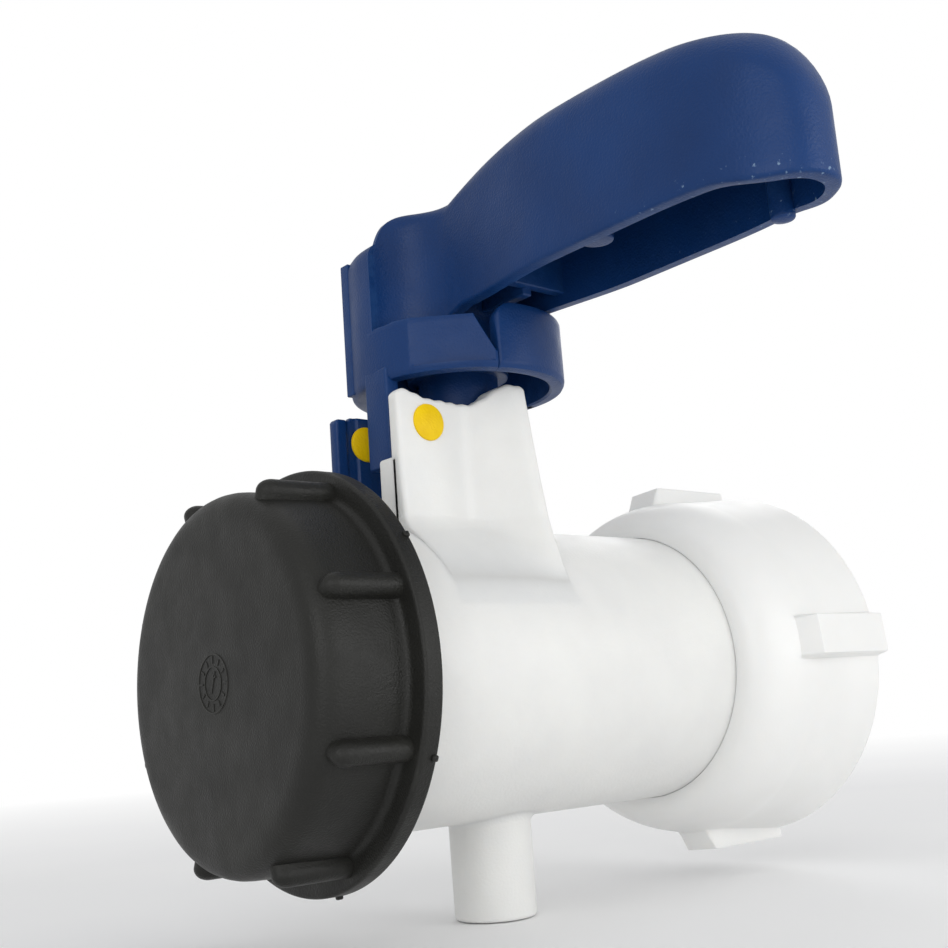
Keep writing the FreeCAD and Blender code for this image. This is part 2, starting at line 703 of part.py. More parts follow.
def root_front(inset):
    """Front outline of the root, its shoulders falling in an arc to the cheeks."""
    wide = size["root_half_width"] + 0.2
    flat = size["waist_half_width"] - 2
    high = size["root_top"] - inset
    drop = size["shoulder_drop"]
    middle = flat + (wide - flat) * 0.72
    left = Part.Arc(Vector(-wide, 0, high - drop), Vector(-middle, 0, high - drop * 0.3), Vector(-flat, 0, high))
    right = Part.Arc(Vector(flat, 0, high), Vector(middle, 0, high - drop * 0.3), Vector(wide, 0, high - drop))
    low = size["root_bottom"] if not inset else size["skirt_top"]
    rest = Part.makePolygon([Vector(wide, 0, high - drop), Vector(wide, 0, low),
                             Vector(-wide, 0, low), Vector(-wide, 0, high - drop)])
    top = Part.makeLine(Vector(-flat, 0, high), Vector(flat, 0, high))
    return Part.Face(Part.Wire(Part.__sortEdges__([left.toShape(), top, right.toShape()] + rest.Edges)))


def lever_root(inset, back):
    """The root under the waist: the flared plan cut to the front outline."""
    depth = WAIST_PLACE + 1
    plan = flare_plan(inset, back).extrude(Vector(0, 0, 2 * size["crown"]))
    front = root_front(inset).extrude(Vector(0, -depth, 0))
    return plan.common(front)


def facet_tool():
    """Flat cut across the skirt below the near cheek of the root."""
    tool = Part.makeBox(10, 30, size["root_bottom"] - size["facet_bottom"],
                        Vector(size["facet_distance"], -15, size["facet_bottom"]))
    tool.rotate(Vector(), Vector(0, 0, 1), size["facet_direction"])
    return tool


WIDE = "skirt_radius + 2"
INSIDE = "skirt_radius - skirt_wall"
HUB_CEILING = "hub_top - lever_wall"
PLATE_OUTER = "plate_inner + plate_thickness"
BOSS_BOTTOM = "neck_top + moving_gap"
RIB = "lever_wall / 2"


def hub_parts():
    """Outer forms of the hub: round back, low skirt and the wall under the near cheek."""
    drum = overlap("hub_drum", [
        rod("hub_drum_round", "z", "skirt_radius", "skirt_bottom", "hub_top - skirt_bottom"),
        block("hub_drum_rear", f"-({WIDE})", WIDE, "-1", WIDE, "skirt_bottom", "hub_top"),
    ])
    top = size["hub_top"]
    round_drum = rounded("hub_drum_rounded", drum, size["hub_round"],
                         lambda edge: edge.BoundBox.ZMin > top - 0.1 and edge.BoundBox.YLength > 5)
    near_wall = overlap("near_wall", [
        rod("near_wall_round", "z", "skirt_radius", "skirt_bottom", "lever_rim - skirt_bottom"),
        block("near_wall_part", f"-({WIDE})", "-skirt_radius * 0.3", f"-({WIDE})", "0",
              "skirt_bottom", "lever_rim"),
    ])
    return [round_drum, near_wall, rod("skirt", "z", "skirt_radius", "skirt_bottom", "skirt_top - skirt_bottom")]


def hub_hollows():
    """Spaces under the hub, open downwards."""
    rear = overlap("rear_hollow", [
        rod("rear_hollow_round", "z", INSIDE, "skirt_bottom - 1", f"{HUB_CEILING} - skirt_bottom + 1"),
        block("rear_hollow_part", f"-({WIDE})", WIDE, "0", WIDE, "skirt_bottom - 1", HUB_CEILING),
    ])
    return [
        rear,
        rod("skirt_hollow", "z", INSIDE, "skirt_bottom - 1", "skirt_top - skirt_bottom + 1"),
        own_shape("lever_hollow", lever_bar(size["lever_wall"]).fuse(
            lever_root(size["lever_wall"], size["lever_wall"]))),
        own_shape("near_facet", facet_tool()),
    ]


def hub_inside():
    """Boss on the spindle, ribs, stop tab, rear lock plate and the ribs of the lever."""
    chord = overlap("plate_rib", [
        rod("plate_rib_round", "z", "skirt_radius - 1", "skirt_bottom", f"{HUB_CEILING} - skirt_bottom + 1"),
        block("plate_rib_slab", f"-({WIDE})", WIDE, "plate_inner", PLATE_OUTER, "skirt_bottom", "hub_top"),
    ])
    return [
        rod("boss", "z", "boss_radius", BOSS_BOTTOM, f"boss_top - ({BOSS_BOTTOM})"),
        chord,
        block("rear_rib", f"-({RIB})", RIB, "boss_radius - 1", "skirt_radius - 1",
              "skirt_bottom + 4", f"{HUB_CEILING} + 1"),
        block("stop_tab", "-skirt_radius", f"-({INSIDE})", "tab_front", "tab_rear", "tab_bottom", "skirt_bottom + 2"),
        block("rear_plate", "wing_left", "plate_right", "plate_inner", PLATE_OUTER, "plate_bottom", "plate_top"),
        block("rear_plate_web", "-boss_radius", "plate_right", "plate_inner", PLATE_OUTER,
              "plate_top - 1", "skirt_bottom + 1"),
        block("cross_rib", "-waist_half_width + 1", "waist_half_width - 1",
              "-skirt_radius - lever_wall", "-skirt_radius", "lever_rim + 6", "root_top + 1"),
    ]


def handle():
    """Lever, hub, stop tab and rear lock plate: one moulding."""
    lever = own_shape("lever_block", lever_bar(0).fuse(lever_root(0, 0)))
    shell = carve("handle_shell", join("handle_outer", [lever] + hub_parts()), hub_hollows())
    solid = join("handle_solid", [shell] + hub_inside())
    socket_side = f"{SQUARE} + running_gap"
    return piece("handle", carve("handle_cut", solid, [
        block("handle_socket", f"-({socket_side})", socket_side, f"-({socket_side})", socket_side,
              "skirt_bottom", "square_top + moving_gap"),
        rod("screw_passage", "z", "screw_radius + moving_gap", "skirt_bottom", "pocket_floor"),
        rod("screw_pocket", "z", "pocket_radius", "pocket_floor", "crown - pocket_floor"),
        rod("cover_recess", "z", "cover_radius + moving_gap", "cover_seat", "crown - cover_seat"),
        rod("rear_plug_hole", "y", "plug_shank_radius", "plate_inner - 1", "plate_thickness + 2",
            x=f"{STEM} + plug_x", z="plug_z"),
    ]))


# ---------------------------------------------------------------- what fixes the handle
HEAD_SEAT = "pocket_floor + washer_thickness"


def handle_screw():
    shank_bottom = "square_top - screw_length"
    solid = join("screw_solid", [
        rod("screw_shank", "z", "screw_radius", shank_bottom, f"{HEAD_SEAT} - ({shank_bottom})"),
        rod("screw_head", "z", "screw_head_radius", HEAD_SEAT, "screw_head_height"),
    ])
    key = doc.addObject("Part::Prism", "screw_key")
    key.Polygon = 6
    bind(key, "Circumradius", "screw_head_radius * 0.6")
    bind(key, "Height", "screw_head_height")
    place(key, STEM, "0", f"{HEAD_SEAT} + screw_head_height * 0.45")
    return piece("handle_screw", carve("screw_cut", solid, [key]))


def handle_washer():
    blank = rod("washer_blank", "z", "washer_radius", "pocket_floor", "washer_thickness")
    hole = rod("washer_hole", "z", "screw_radius + moving_gap", "pocket_floor - 1", "washer_thickness + 2")
    return piece("handle_washer", carve("washer_cut", blank, [hole]))


def screw_cover():
    """Snap-in cover: a disc with a short skirt that grips the pocket."""
    return piece("screw_cover", lathe_z("cover_turned", [
        ("0", "cover_seat"),
        ("pocket_radius - 1.5", "cover_seat"),
        ("pocket_radius - 1.5", "cover_seat - cover_thickness"),
        ("pocket_radius - running_gap", "cover_seat - cover_thickness"),
        ("pocket_radius - running_gap", "cover_seat"),
        ("cover_radius", "cover_seat"),
        ("cover_radius", "cover_seat + cover_thickness * 0.6"),
        ("cover_radius * 0.9", "cover_seat + cover_thickness"),
        ("0", "cover_seat + cover_thickness"),
    ]))


valve_body()
union_nut()
nut_split_ring()
washer_along_flow("inlet_gasket", "stem_to_seat", "gasket_thickness", "bore_radius + 0.5", RING_OUTSIDE)
dust_cap()
washer_along_flow("cap_gasket", f"-({CAP_INSIDE})", "cap_gasket_thickness", "bore_radius", f"{SPOUT_ROOT} + thread_sink")
spindle()
spindle_bush()
piece("lower_o_ring", oring("foot_o_ring", "foot_radius", LOWER_RING))
spindle_o_rings()
butterfly_disc()
disc_seal()
lock_plug("front_lock_plug", "-wing_face", "wing_thickness")
lock_plug("rear_lock_plug", "plate_inner", "plate_thickness")
handle()
handle_screw()
handle_washer()
screw_cover()

doc.recompute()
for thing in doc.Objects:
    if "Invalid" in thing.State or "Error" in thing.State:
        raise RuntimeError(f"{thing.Label} did not compute: {thing.State}")
os.makedirs("parts", exist_ok=True)
for node, thing in pieces.items():
    shape = thing.Shape
    if shape.isNull() or not shape.isValid():
        raise RuntimeError(f"{node} has no valid shape")
    print(node, len(shape.Solids), "solid(s)", round(shape.Volume / 1000, 2), "cm3", shape.BoundBox)
    shape.exportStep(f"parts/{node}.step")
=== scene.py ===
# %% [markdown]
# # Outlet valve of a bulk tank: lever, body, union nut and dust cap
# The solid model gives every size and every moving body. This lesson dresses it: each moulding is
# modelled again with the soft edges, fillets and small marks that an injection mould leaves, and
# gets a plastic with its own grain. Lengths are in millimetres until a mesh is made, and places
# along the flow line are measured from the stem that carries the lever.

# %% Load the solid model
import json
import math
import bmesh
import bpy
import numpy as np
from mathutils import Matrix, Vector

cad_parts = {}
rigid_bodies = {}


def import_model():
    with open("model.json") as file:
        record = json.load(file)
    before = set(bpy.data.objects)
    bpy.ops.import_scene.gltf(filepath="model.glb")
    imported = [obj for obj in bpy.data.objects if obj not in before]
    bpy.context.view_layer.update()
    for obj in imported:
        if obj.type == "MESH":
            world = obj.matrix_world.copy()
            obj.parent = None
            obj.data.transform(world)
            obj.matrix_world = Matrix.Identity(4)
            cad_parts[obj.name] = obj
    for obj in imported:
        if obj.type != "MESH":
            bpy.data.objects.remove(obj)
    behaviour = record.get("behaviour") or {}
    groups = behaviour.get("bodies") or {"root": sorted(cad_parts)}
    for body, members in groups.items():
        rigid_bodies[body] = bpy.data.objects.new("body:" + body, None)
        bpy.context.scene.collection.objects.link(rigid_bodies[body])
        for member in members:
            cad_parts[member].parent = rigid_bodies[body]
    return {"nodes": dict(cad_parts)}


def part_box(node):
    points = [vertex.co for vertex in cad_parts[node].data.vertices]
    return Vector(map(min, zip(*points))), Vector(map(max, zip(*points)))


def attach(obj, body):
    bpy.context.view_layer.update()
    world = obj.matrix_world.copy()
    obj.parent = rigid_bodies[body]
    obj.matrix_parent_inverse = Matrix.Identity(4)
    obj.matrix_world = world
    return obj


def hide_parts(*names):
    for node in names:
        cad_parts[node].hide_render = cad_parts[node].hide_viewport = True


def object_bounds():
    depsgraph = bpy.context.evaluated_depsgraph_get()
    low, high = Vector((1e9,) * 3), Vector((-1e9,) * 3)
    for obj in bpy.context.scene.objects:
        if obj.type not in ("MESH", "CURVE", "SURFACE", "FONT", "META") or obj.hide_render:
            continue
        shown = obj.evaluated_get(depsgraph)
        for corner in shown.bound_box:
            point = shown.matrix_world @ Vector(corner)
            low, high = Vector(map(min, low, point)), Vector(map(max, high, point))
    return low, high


for thing in list(bpy.data.objects):
    bpy.data.objects.remove(thing)
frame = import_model()
cad_low, cad_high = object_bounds()
MM = 0.001
spindle_low, spindle_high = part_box("spindle")
STEM_X = (spindle_low.x + spindle_high.x) / 2 / MM
print("stem stands at x =", round(STEM_X, 3), "mm; box", [round(v / MM, 1) for v in (*cad_low, *cad_high)])

# %% [markdown]
# ## Camera, floor and light
# The valve is seen from the cap's side, low and close, looking slightly up under the lever. Yaw,
# pitch and roll are set one after another, so the three numbers stay readable. Soft light comes
# from a pale surround and three large lamps. The surround is pure white only for what the camera
# and glass see, so the white mouldings keep their shading.

# %% Camera
YAW, PITCH, ROLL = 40.777, 11.150, -4.215


def aim_camera():
    """Camera matrix = place, then yaw about Z, then pitch about its X, then roll about its view."""
    camera = bpy.data.cameras.new("packshot")
    camera.lens = 47.44
    camera.sensor_width = 36.0
    camera.clip_start = 0.01
    holder = bpy.data.objects.new("packshot", camera)
    bpy.context.scene.collection.objects.link(holder)
    holder.matrix_world = (Matrix.Translation((-0.270795, -0.212934, -0.010352))
                           @ Matrix.Rotation(math.radians(-YAW), 4, "Z")
                           @ Matrix.Rotation(math.radians(90 + PITCH), 4, "X")
                           @ Matrix.Rotation(math.radians(ROLL), 4, "Z"))
    bpy.context.scene.camera = holder
    return holder


aim_camera()
bpy.context.scene.view_settings.view_transform = "Standard"


# %% Surround
def surround(strength):
    """World light of one strength, shown as plain white to the camera and to glass."""
    world = bpy.data.worlds.new("surround")
    world.use_nodes = True
    tree = world.node_tree
    tree.nodes.clear()
    path = tree.nodes.new("ShaderNodeLightPath")
    either = tree.nodes.new("ShaderNodeMath")
    either.operation = "MAXIMUM"
    shown = tree.nodes.new("ShaderNodeMath")
    shown.operation = "MAXIMUM"
    light = tree.nodes.new("ShaderNodeBackground")
    light.inputs["Strength"].default_value = strength
    white = tree.nodes.new("ShaderNodeBackground")
    white.inputs["Color"].default_value = (1, 1, 1, 1)
    mix = tree.nodes.new("ShaderNodeMixShader")
    out = tree.nodes.new("ShaderNodeOutputWorld")
    light.inputs["Color"].default_value = (0.97, 0.985, 1.0, 1)
    tree.links.new(path.outputs["Is Camera Ray"], either.inputs[0])
    tree.links.new(path.outputs["Is Transmission Ray"], either.inputs[1])
    tree.links.new(either.outputs[0], shown.inputs[0])
    tree.links.new(shown.outputs[0], mix.inputs[0])
    tree.links.new(light.outputs[0], mix.inputs[1])
    tree.links.new(white.outputs[0], mix.inputs[2])
    tree.links.new(mix.outputs[0], out.inputs[0])
    bpy.context.scene.world = world
    return path


surround(0.34)


# %% Lamps
def softbox(name, place, target, size, power):
    """Square area lamp at a place, turned to face a target; both in metres."""
    lamp = bpy.data.lights.new(name, "AREA")
    lamp.size = size
    lamp.energy = power
    holder = bpy.data.objects.new(name, lamp)
    holder.location = place
    holder.rotation_euler = (Vector(target) - Vector(place)).to_track_quat("-Z", "Y").to_euler()
    bpy.context.scene.collection.objects.link(holder)
    return holder


softbox("key_left", (-0.85, -0.6, 0.22), (-0.09, 0, 0), 0.7, 2.6)
softbox("fill_front", (0.25, -1.0, 0.12), (-0.06, 0, 0), 0.7, 3.6)
softbox("back_right", (0.75, 0.55, 0.6), (-0.06, 0, 0.03), 0.5, 1.2)

# %% [markdown]
# ## Helpers: grids that become closed mouldings
# Every new surface is a grid of points. Two neighbouring rows give a strip of four-sided faces, and
# a grid may close on itself round its rows or its columns. Ends are shut by one flat face or by a
# ladder of faces between two matching columns. Several closed shells that sink into each other
# make one moulding, as ribs and bosses do in a mould.

# %% Faces of a grid
def strips(rows, cols, rows_meet=False, cols_meet=False):
    """Four corner numbers for each cell between neighbouring rows and columns."""
    row = np.arange(rows if rows_meet else rows - 1)[:, None]
    col = np.arange(cols if cols_meet else cols - 1)[None, :]
    row_next = (row + 1) % rows
    col_next = (col + 1) % cols
    corners = np.broadcast_arrays(row * cols + col, row * cols + col_next,
                                  row_next * cols + col_next, row_next * cols + col)
    return np.stack(corners, axis=-1).reshape(-1, 4).tolist()


def shell(x, y, z, rows_meet=False, cols_meet=False, ends="open"):
    """Points and faces of a grid; x runs from the stem. Ends: open, flat or ladder."""
    x, y, z = np.broadcast_arrays(x, y, z)
    rows, cols = x.shape
    points = np.stack([x + STEM_X, y, z], axis=-1).reshape(-1, 3)
    faces = strips(rows, cols, rows_meet, cols_meet)
    if ends == "flat":
        faces += [list(range(cols)), list(range((rows - 1) * cols, rows * cols))]
    if ends == "ladder":
        last = (rows - 1) * cols
        first = np.arange(cols - 1)
        faces += np.stack([first, first + 1, last + first + 1, last + first], axis=-1).tolist()
    return points, faces


def softened(corners, steps=4):
    """Corner line (a, b, cut): each corner is cut back by its own length and bridged by a curve,
    the quadratic one that has the corner as its middle control point."""
    table = np.array(corners, float)
    place, cut = table[:, :2], table[:, 2:]

    def towards(other):
        way = other - place
        return place + way / np.maximum(np.linalg.norm(way, axis=1, keepdims=True), 1e-9) * cut

    start = towards(np.roll(place, 1, axis=0))[:, None]
    end = towards(np.roll(place, -1, axis=0))[:, None]
    t = np.linspace(0, 1, steps + 1)[None, :, None]
    curve = start * (1 - t) ** 2 + 2 * place[:, None] * t * (1 - t) + end * t ** 2
    return curve.reshape(-1, 2)


def swell(low, high, share):
    """Smooth step from low to high as the share runs from 0 to 1."""
    share = np.clip(share, 0, 1)
    return low + (high - low) * share ** 2 * (3 - 2 * share)


def arc_drop(inset, radius):
    """How far a quarter-round edge has fallen at a given inset from the edge."""
    short = np.clip(radius - inset, 0, radius)
    return radius - np.sqrt(np.maximum(radius ** 2 - short ** 2, 0))


# %% Turned shapes
def turned_x(profile, angles=96, grow=None, ends="open"):
    """Profile (station, radius) carried round the flow line; the angle is taken about +X from +Z.
    grow(station, radius, angle) may swell the radius."""
    whole = np.isscalar(angles)
    turn = np.linspace(0, 2 * np.pi, angles, endpoint=False) if whole else np.asarray(angles)
    along, radius = profile[:, 0][None, :], profile[:, 1][None, :]
    turn = turn[:, None]
    if grow is not None:
        along, radius = grow(along, radius, turn)
    return shell(along + 0 * turn, -radius * np.sin(turn), radius * np.cos(turn),
                 rows_meet=ends == "open", cols_meet=True, ends=ends)


def turned_z(profile, angles=96, x=0.0, y=0.0):
    """Profile (radius, height) carried round an upright line through x, y."""
    turn = np.linspace(0, 2 * np.pi, angles, endpoint=False)[:, None]
    radius, height = profile[:, 0][None, :], profile[:, 1][None, :]
    return shell(x + radius * np.cos(turn), y + radius * np.sin(turn), height + 0 * turn,
                 rows_meet=True, cols_meet=True)


def turned_y(profile, x, z, angles=48):
    """Profile (radius, y) carried round a line along Y through x, z."""
    turn = np.linspace(0, 2 * np.pi, angles, endpoint=False)[:, None]
    radius, depth = profile[:, 0][None, :], profile[:, 1][None, :]
    return shell(x + radius * np.cos(turn), depth + 0 * turn, z + radius * np.sin(turn),
                 rows_meet=True, cols_meet=True)


def round_flow(part, degrees):
    """The same shell turned about the flow line: y and z rotate, x stays."""
    points, faces = part
    turn = math.radians(degrees)
    y = points[:, 1] * math.cos(turn) - points[:, 2] * math.sin(turn)
    z = points[:, 1] * math.sin(turn) + points[:, 2] * math.cos(turn)
    return np.stack([points[:, 0], y, z], axis=-1), faces


# %% Rounded block
def soft_block(low, high, soft=0.5, steps=4, turn_z=0.0):
    """Rounded rectangle carried up Z and drawn in by a quarter circle at both ends.
    Corner point = core corner + (soft - inset) * (cos, sin); turn_z turns it about its own middle."""
    low, high = np.array(low, float), np.array(high, float)
    middle, half = (low + high) / 2, (high - low) / 2
    part = np.linspace(0, np.pi / 2, steps + 1)
    inset = soft * (1 - np.sin(part))
    rise = soft * (1 - np.cos(part))
    inset = np.concatenate([inset, inset[::-1]])[:, None]
    height = np.concatenate([low[2] + rise, high[2] - rise[::-1]])[:, None]
    quarter = np.repeat(np.arange(4), steps + 1)
    angle = (quarter * np.pi / 2 + np.tile(part, 4))[None, :]
    side_x = np.where((quarter == 0) | (quarter == 3), 1, -1)[None, :]
    side_y = np.where(quarter < 2, 1, -1)[None, :]
    x = side_x * (half[0] - soft) + (soft - inset) * np.cos(angle)
    y = side_y * (half[1] - soft) + (soft - inset) * np.sin(angle)
    tilt = math.radians(turn_z)
    return shell(middle[0] + x * math.cos(tilt) - y * math.sin(tilt),
                 middle[1] + x * math.sin(tilt) + y * math.cos(tilt), height,
                 cols_meet=True, ends="flat")


# %% Standing wall
def standing_wall(along, front, back, low, high, soft, levels=24):
    """Wall between a front and a back surface, as tall as high(x) says.
    Rows climb from low to the top; the last ones turn over it in a quarter circle. The two upright
    ends are rounded by letting front and back fall in as a quarter circle near each end."""
    along = np.asarray(along, float)
    x = along[None, :]
    inset = np.minimum(x - x.min(), x.max() - x)
    top = high(x)
    part = np.linspace(0, np.pi / 2, 6)[1:]
    climb = low + (top - soft - low) * np.linspace(0, 1, levels)[:, None]
    z = np.concatenate([climb, top - soft + soft * np.sin(part)[:, None]])
    pull = np.concatenate([np.zeros(levels), soft * (1 - np.cos(part))])[:, None]
    ease = arc_drop(inset, soft)
    near = front(x, z) + np.maximum(pull, ease)
    far = np.broadcast_to(back - np.maximum(pull, ease), z.shape)
    far = np.maximum(far, near + 0.05)
    grid_x = np.broadcast_to(x, z.shape)
    loop = [np.concatenate([a, b[:, ::-1]], axis=1) for a, b in ((grid_x, grid_x), (near, far), (z, z))]
    points, faces = shell(*loop, cols_meet=True)
    count = along.size
    first = np.arange(count - 1)
    for row in (0, z.shape[0] - 1):
        start = row * 2 * count
        faces += np.stack([start + first, start + first + 1, start + 2 * count - 2 - first,
                           start + 2 * count - 1 - first], axis=-1).tolist()
    return points, faces


# %% Screw thread
THREAD_PITCH = 6.0


def thread(start, turns, foot, crest, foot_half=1.5, crest_half=0.8, fade=40.0):
    """Ridge on a helix about the flow line: station = start + pitch * turn. Its trapezium section
    grows out of the wall over the first and last degrees."""
    turn = np.linspace(0, 2 * np.pi * turns, int(72 * turns))[:, None]
    run = np.degrees(turn)
    grown = np.clip(np.minimum(run, run[-1] - run) / fade, 0.02, 1)
    lane = softened([(-foot_half, 0, 0), (-crest_half, 1, 0.3), (crest_half, 1, 0.3), (foot_half, 0, 0)], 3)
    along = start + THREAD_PITCH * turn / (2 * np.pi) + lane[:, 0][None, :]
    radius = foot + (crest - foot) * lane[:, 1][None, :] * grown
    return shell(along, radius * np.sin(turn), -radius * np.cos(turn), cols_meet=True, ends="flat")


# %% From shells to one piece
def moulding(name, shells, body, finish, nodes=(), crease=38.0):
    """One mesh from closed shells: doubles merged, faces turned outwards, smooth but for creases."""
    counts = np.cumsum([0] + [len(points) for points, _ in shells])
    points = np.concatenate([points for points, _ in shells]) * MM
    faces = [[corner + int(start) for corner in face]
             for (_, some), start in zip(shells, counts) for face in some]
    mesh = bpy.data.meshes.new(name)
    mesh.from_pydata(points.tolist(), [], faces)
    work = bmesh.new()
    work.from_mesh(mesh)
    bmesh.ops.remove_doubles(work, verts=work.verts, dist=2e-6)
    bmesh.ops.dissolve_degenerate(work, edges=work.edges, dist=1e-7)
    bmesh.ops.recalc_face_normals(work, faces=work.faces)
    stray = [edge for edge in work.edges if not edge.link_faces]
    bmesh.ops.delete(work, geom=stray, context="EDGES")
    open_edges = sum(1 for edge in work.edges if len(edge.link_faces) != 2)
    work.to_mesh(mesh)
    work.free()
    mesh.shade_smooth()
    mesh.set_sharp_from_angle(angle=math.radians(crease))
    thing = bpy.data.objects.new(name, mesh)
    bpy.context.scene.collection.objects.link(thing)
    thing.data.materials.append(finish)
    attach(thing, body)
    if nodes:
        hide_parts(*nodes)
    size = [round(v / MM, 1) for v in thing.dimensions]
    triangles = sum(len(face.vertices) - 2 for face in mesh.polygons)
    print(f"{name}: {triangles} triangles, {open_edges} open edges, {size} mm")
    return thing

# %% [markdown]
# ## Finishes
# All parts but the screw and washer are moulded plastic or rubber. One recipe serves them: a base
# colour with slow clouds in it, roughness that varies on its own, a fine grain and a shallow
# waviness as bump, and a lighter rub on outer edges. The patterns read Object coordinates, so they
# stay in place when the lever or the cap turns.

# %% Colour and node helpers
def linear(red, green, blue):
    """Linear colour of display values from 0 to 255."""
    shown = np.array([red, green, blue]) / 255
    value = np.where(shown <= 0.04045, shown / 12.92, ((shown + 0.055) / 1.055) ** 2.4)
    return (*value.tolist(), 1.0)


def node(tree, kind, **inputs):
    """New node with its input values set by name."""
    made = tree.nodes.new(kind)
    for socket, value in inputs.items():
        made.inputs[socket.replace("_", " ")].default_value = value
    return made


def cloud(tree, coords, scale, detail=3.0, low=0.0, high=1.0):
    """Noise of one scale, its middle stretched to run from low to high."""
    noise = node(tree, "ShaderNodeTexNoise", Scale=scale, Detail=detail)
    tree.links.new(coords, noise.inputs["Vector"])
    stretch = node(tree, "ShaderNodeMapRange", From_Min=0.3, From_Max=0.7, To_Min=low, To_Max=high)
    tree.links.new(noise.outputs["Fac"], stretch.inputs["Value"])
    return stretch.outputs["Result"]


def blend_colour(tree, share, first, second):
    """Colour between first and second; each is a socket or a colour."""
    mix = tree.nodes.new("ShaderNodeMix")
    mix.data_type = "RGBA"
    tree.links.new(share, mix.inputs["Factor"])
    for socket, value in ((mix.inputs[6], first), (mix.inputs[7], second)):
        if isinstance(value, bpy.types.NodeSocket):
            tree.links.new(value, socket)
        else:
            socket.default_value = value
    return mix.outputs[2]


def product(tree, first, second):
    """Product of two sockets, or of a socket and a number."""
    times = tree.nodes.new("ShaderNodeMath")
    times.operation = "MULTIPLY"
    tree.links.new(first, times.inputs[0])
    if isinstance(second, bpy.types.NodeSocket):
        tree.links.new(second, times.inputs[1])
    else:
        times.inputs[1].default_value = second
    return times.outputs[0]


def edge_rub(tree, low=0.53, high=0.62):
    """Share of wear, from how sharply the surface bends outwards."""
    bend = tree.nodes.new("ShaderNodeNewGeometry")
    reach = node(tree, "ShaderNodeMapRange", From_Min=low, From_Max=high)
    tree.links.new(bend.outputs["Pointiness"], reach.inputs["Value"])
    return reach.outputs["Result"]


def finish_base(name):
    """Material with a Principled shader and Object coordinates."""
    material = bpy.data.materials.new(name)
    material.use_nodes = True
    tree = material.node_tree
    shader = tree.nodes["Principled BSDF"]
    coords = tree.nodes.new("ShaderNodeTexCoord").outputs["Object"]
    return material, tree, shader, coords


# %% Moulded plastic
def plastic(name, colour, cloudy, rubbed, rough=(0.35, 0.5), cloud_scale=60.0, grain=(1800.0, 0.00004),
            wave=(90.0, 0.00012), wear=0.35, soft=0.0, soft_reach=0.002, shine=0.5):
    """Colour clouds, roughness clouds, grain and waviness bump, and rubbed edges broken by noise."""
    material, tree, shader, coords = finish_base(name)
    clouds = cloud(tree, coords, cloud_scale)
    base = blend_colour(tree, clouds, colour, cloudy)
    patchy = cloud(tree, coords, cloud_scale * 9, 5.0)
    rub = product(tree, product(tree, edge_rub(tree), patchy), wear)
    worn = blend_colour(tree, rub, base, rubbed)
    tree.links.new(worn, shader.inputs["Base Color"])
    tree.links.new(cloud(tree, coords, cloud_scale * 3, 4.0, *rough), shader.inputs["Roughness"])
    fine = node(tree, "ShaderNodeBump", Distance=grain[1], Strength=1.0)
    tree.links.new(cloud(tree, coords, grain[0], 2.0), fine.inputs["Height"])
    slow = node(tree, "ShaderNodeBump", Distance=wave[1], Strength=1.0)
    tree.links.new(cloud(tree, coords, wave[0], 2.0), slow.inputs["Height"])
    tree.links.new(slow.outputs["Normal"], fine.inputs["Normal"])
    tree.links.new(fine.outputs["Normal"], shader.inputs["Normal"])
    shader.inputs["Specular IOR Level"].default_value = shine
    shader.inputs["Subsurface Weight"].default_value = soft
    shader.inputs["Subsurface Radius"].default_value = (1.0, 0.9, 0.8)
    shader.inputs["Subsurface Scale"].default_value = soft_reach
    return material


white_body = plastic("natural_white_body", linear(236, 236, 233), linear(229, 229, 227),
                     linear(246, 246, 244),
                     rough=(0.34, 0.46), soft=0.25, wear=0.0, wave=(36.0, 0.0001), grain=(1600.0, 0.00002))
white_nut = plastic("natural_white_nut", linear(241, 241, 239), linear(237, 237, 235), linear(249, 249, 248),
                    rough=(0.32, 0.42), soft=0.25, wear=0.0, wave=(30.0, 0.00004), grain=(1500.0, 0.000006))
black_cap = plastic("ribbed_black", linear(34, 34, 31), linear(28, 28, 26), linear(84, 84, 78),
                    rough=(0.36, 0.5), cloud_scale=45.0, grain=(2600.0, 0.00005), wear=0.22, shine=0.3)
yellow_plug = plastic("signal_yellow", linear(246, 208, 0), linear(236, 194, 0), linear(250, 224, 60),
                      rough=(0.4, 0.55), cloud_scale=220.0, wear=0.2, shine=0.25)
grey_nylon = plastic("grey_nylon", linear(150, 152, 150), linear(136, 138, 137), linear(186, 188, 186),
                     rough=(0.38, 0.52), cloud_scale=150.0)
rubber = plastic("black_rubber", linear(34, 34, 35), linear(27, 27, 28), linear(58, 58, 58),
                 rough=(0.6, 0.8), cloud_scale=120.0, grain=(3200.0, 0.00005), shine=0.3)
pale_foam = plastic("pale_foam", linear(214, 210, 198), linear(198, 194, 182), linear(224, 221, 212),
                    rough=(0.75, 0.92), cloud_scale=260.0, grain=(1400.0, 0.00018), shine=0.2)


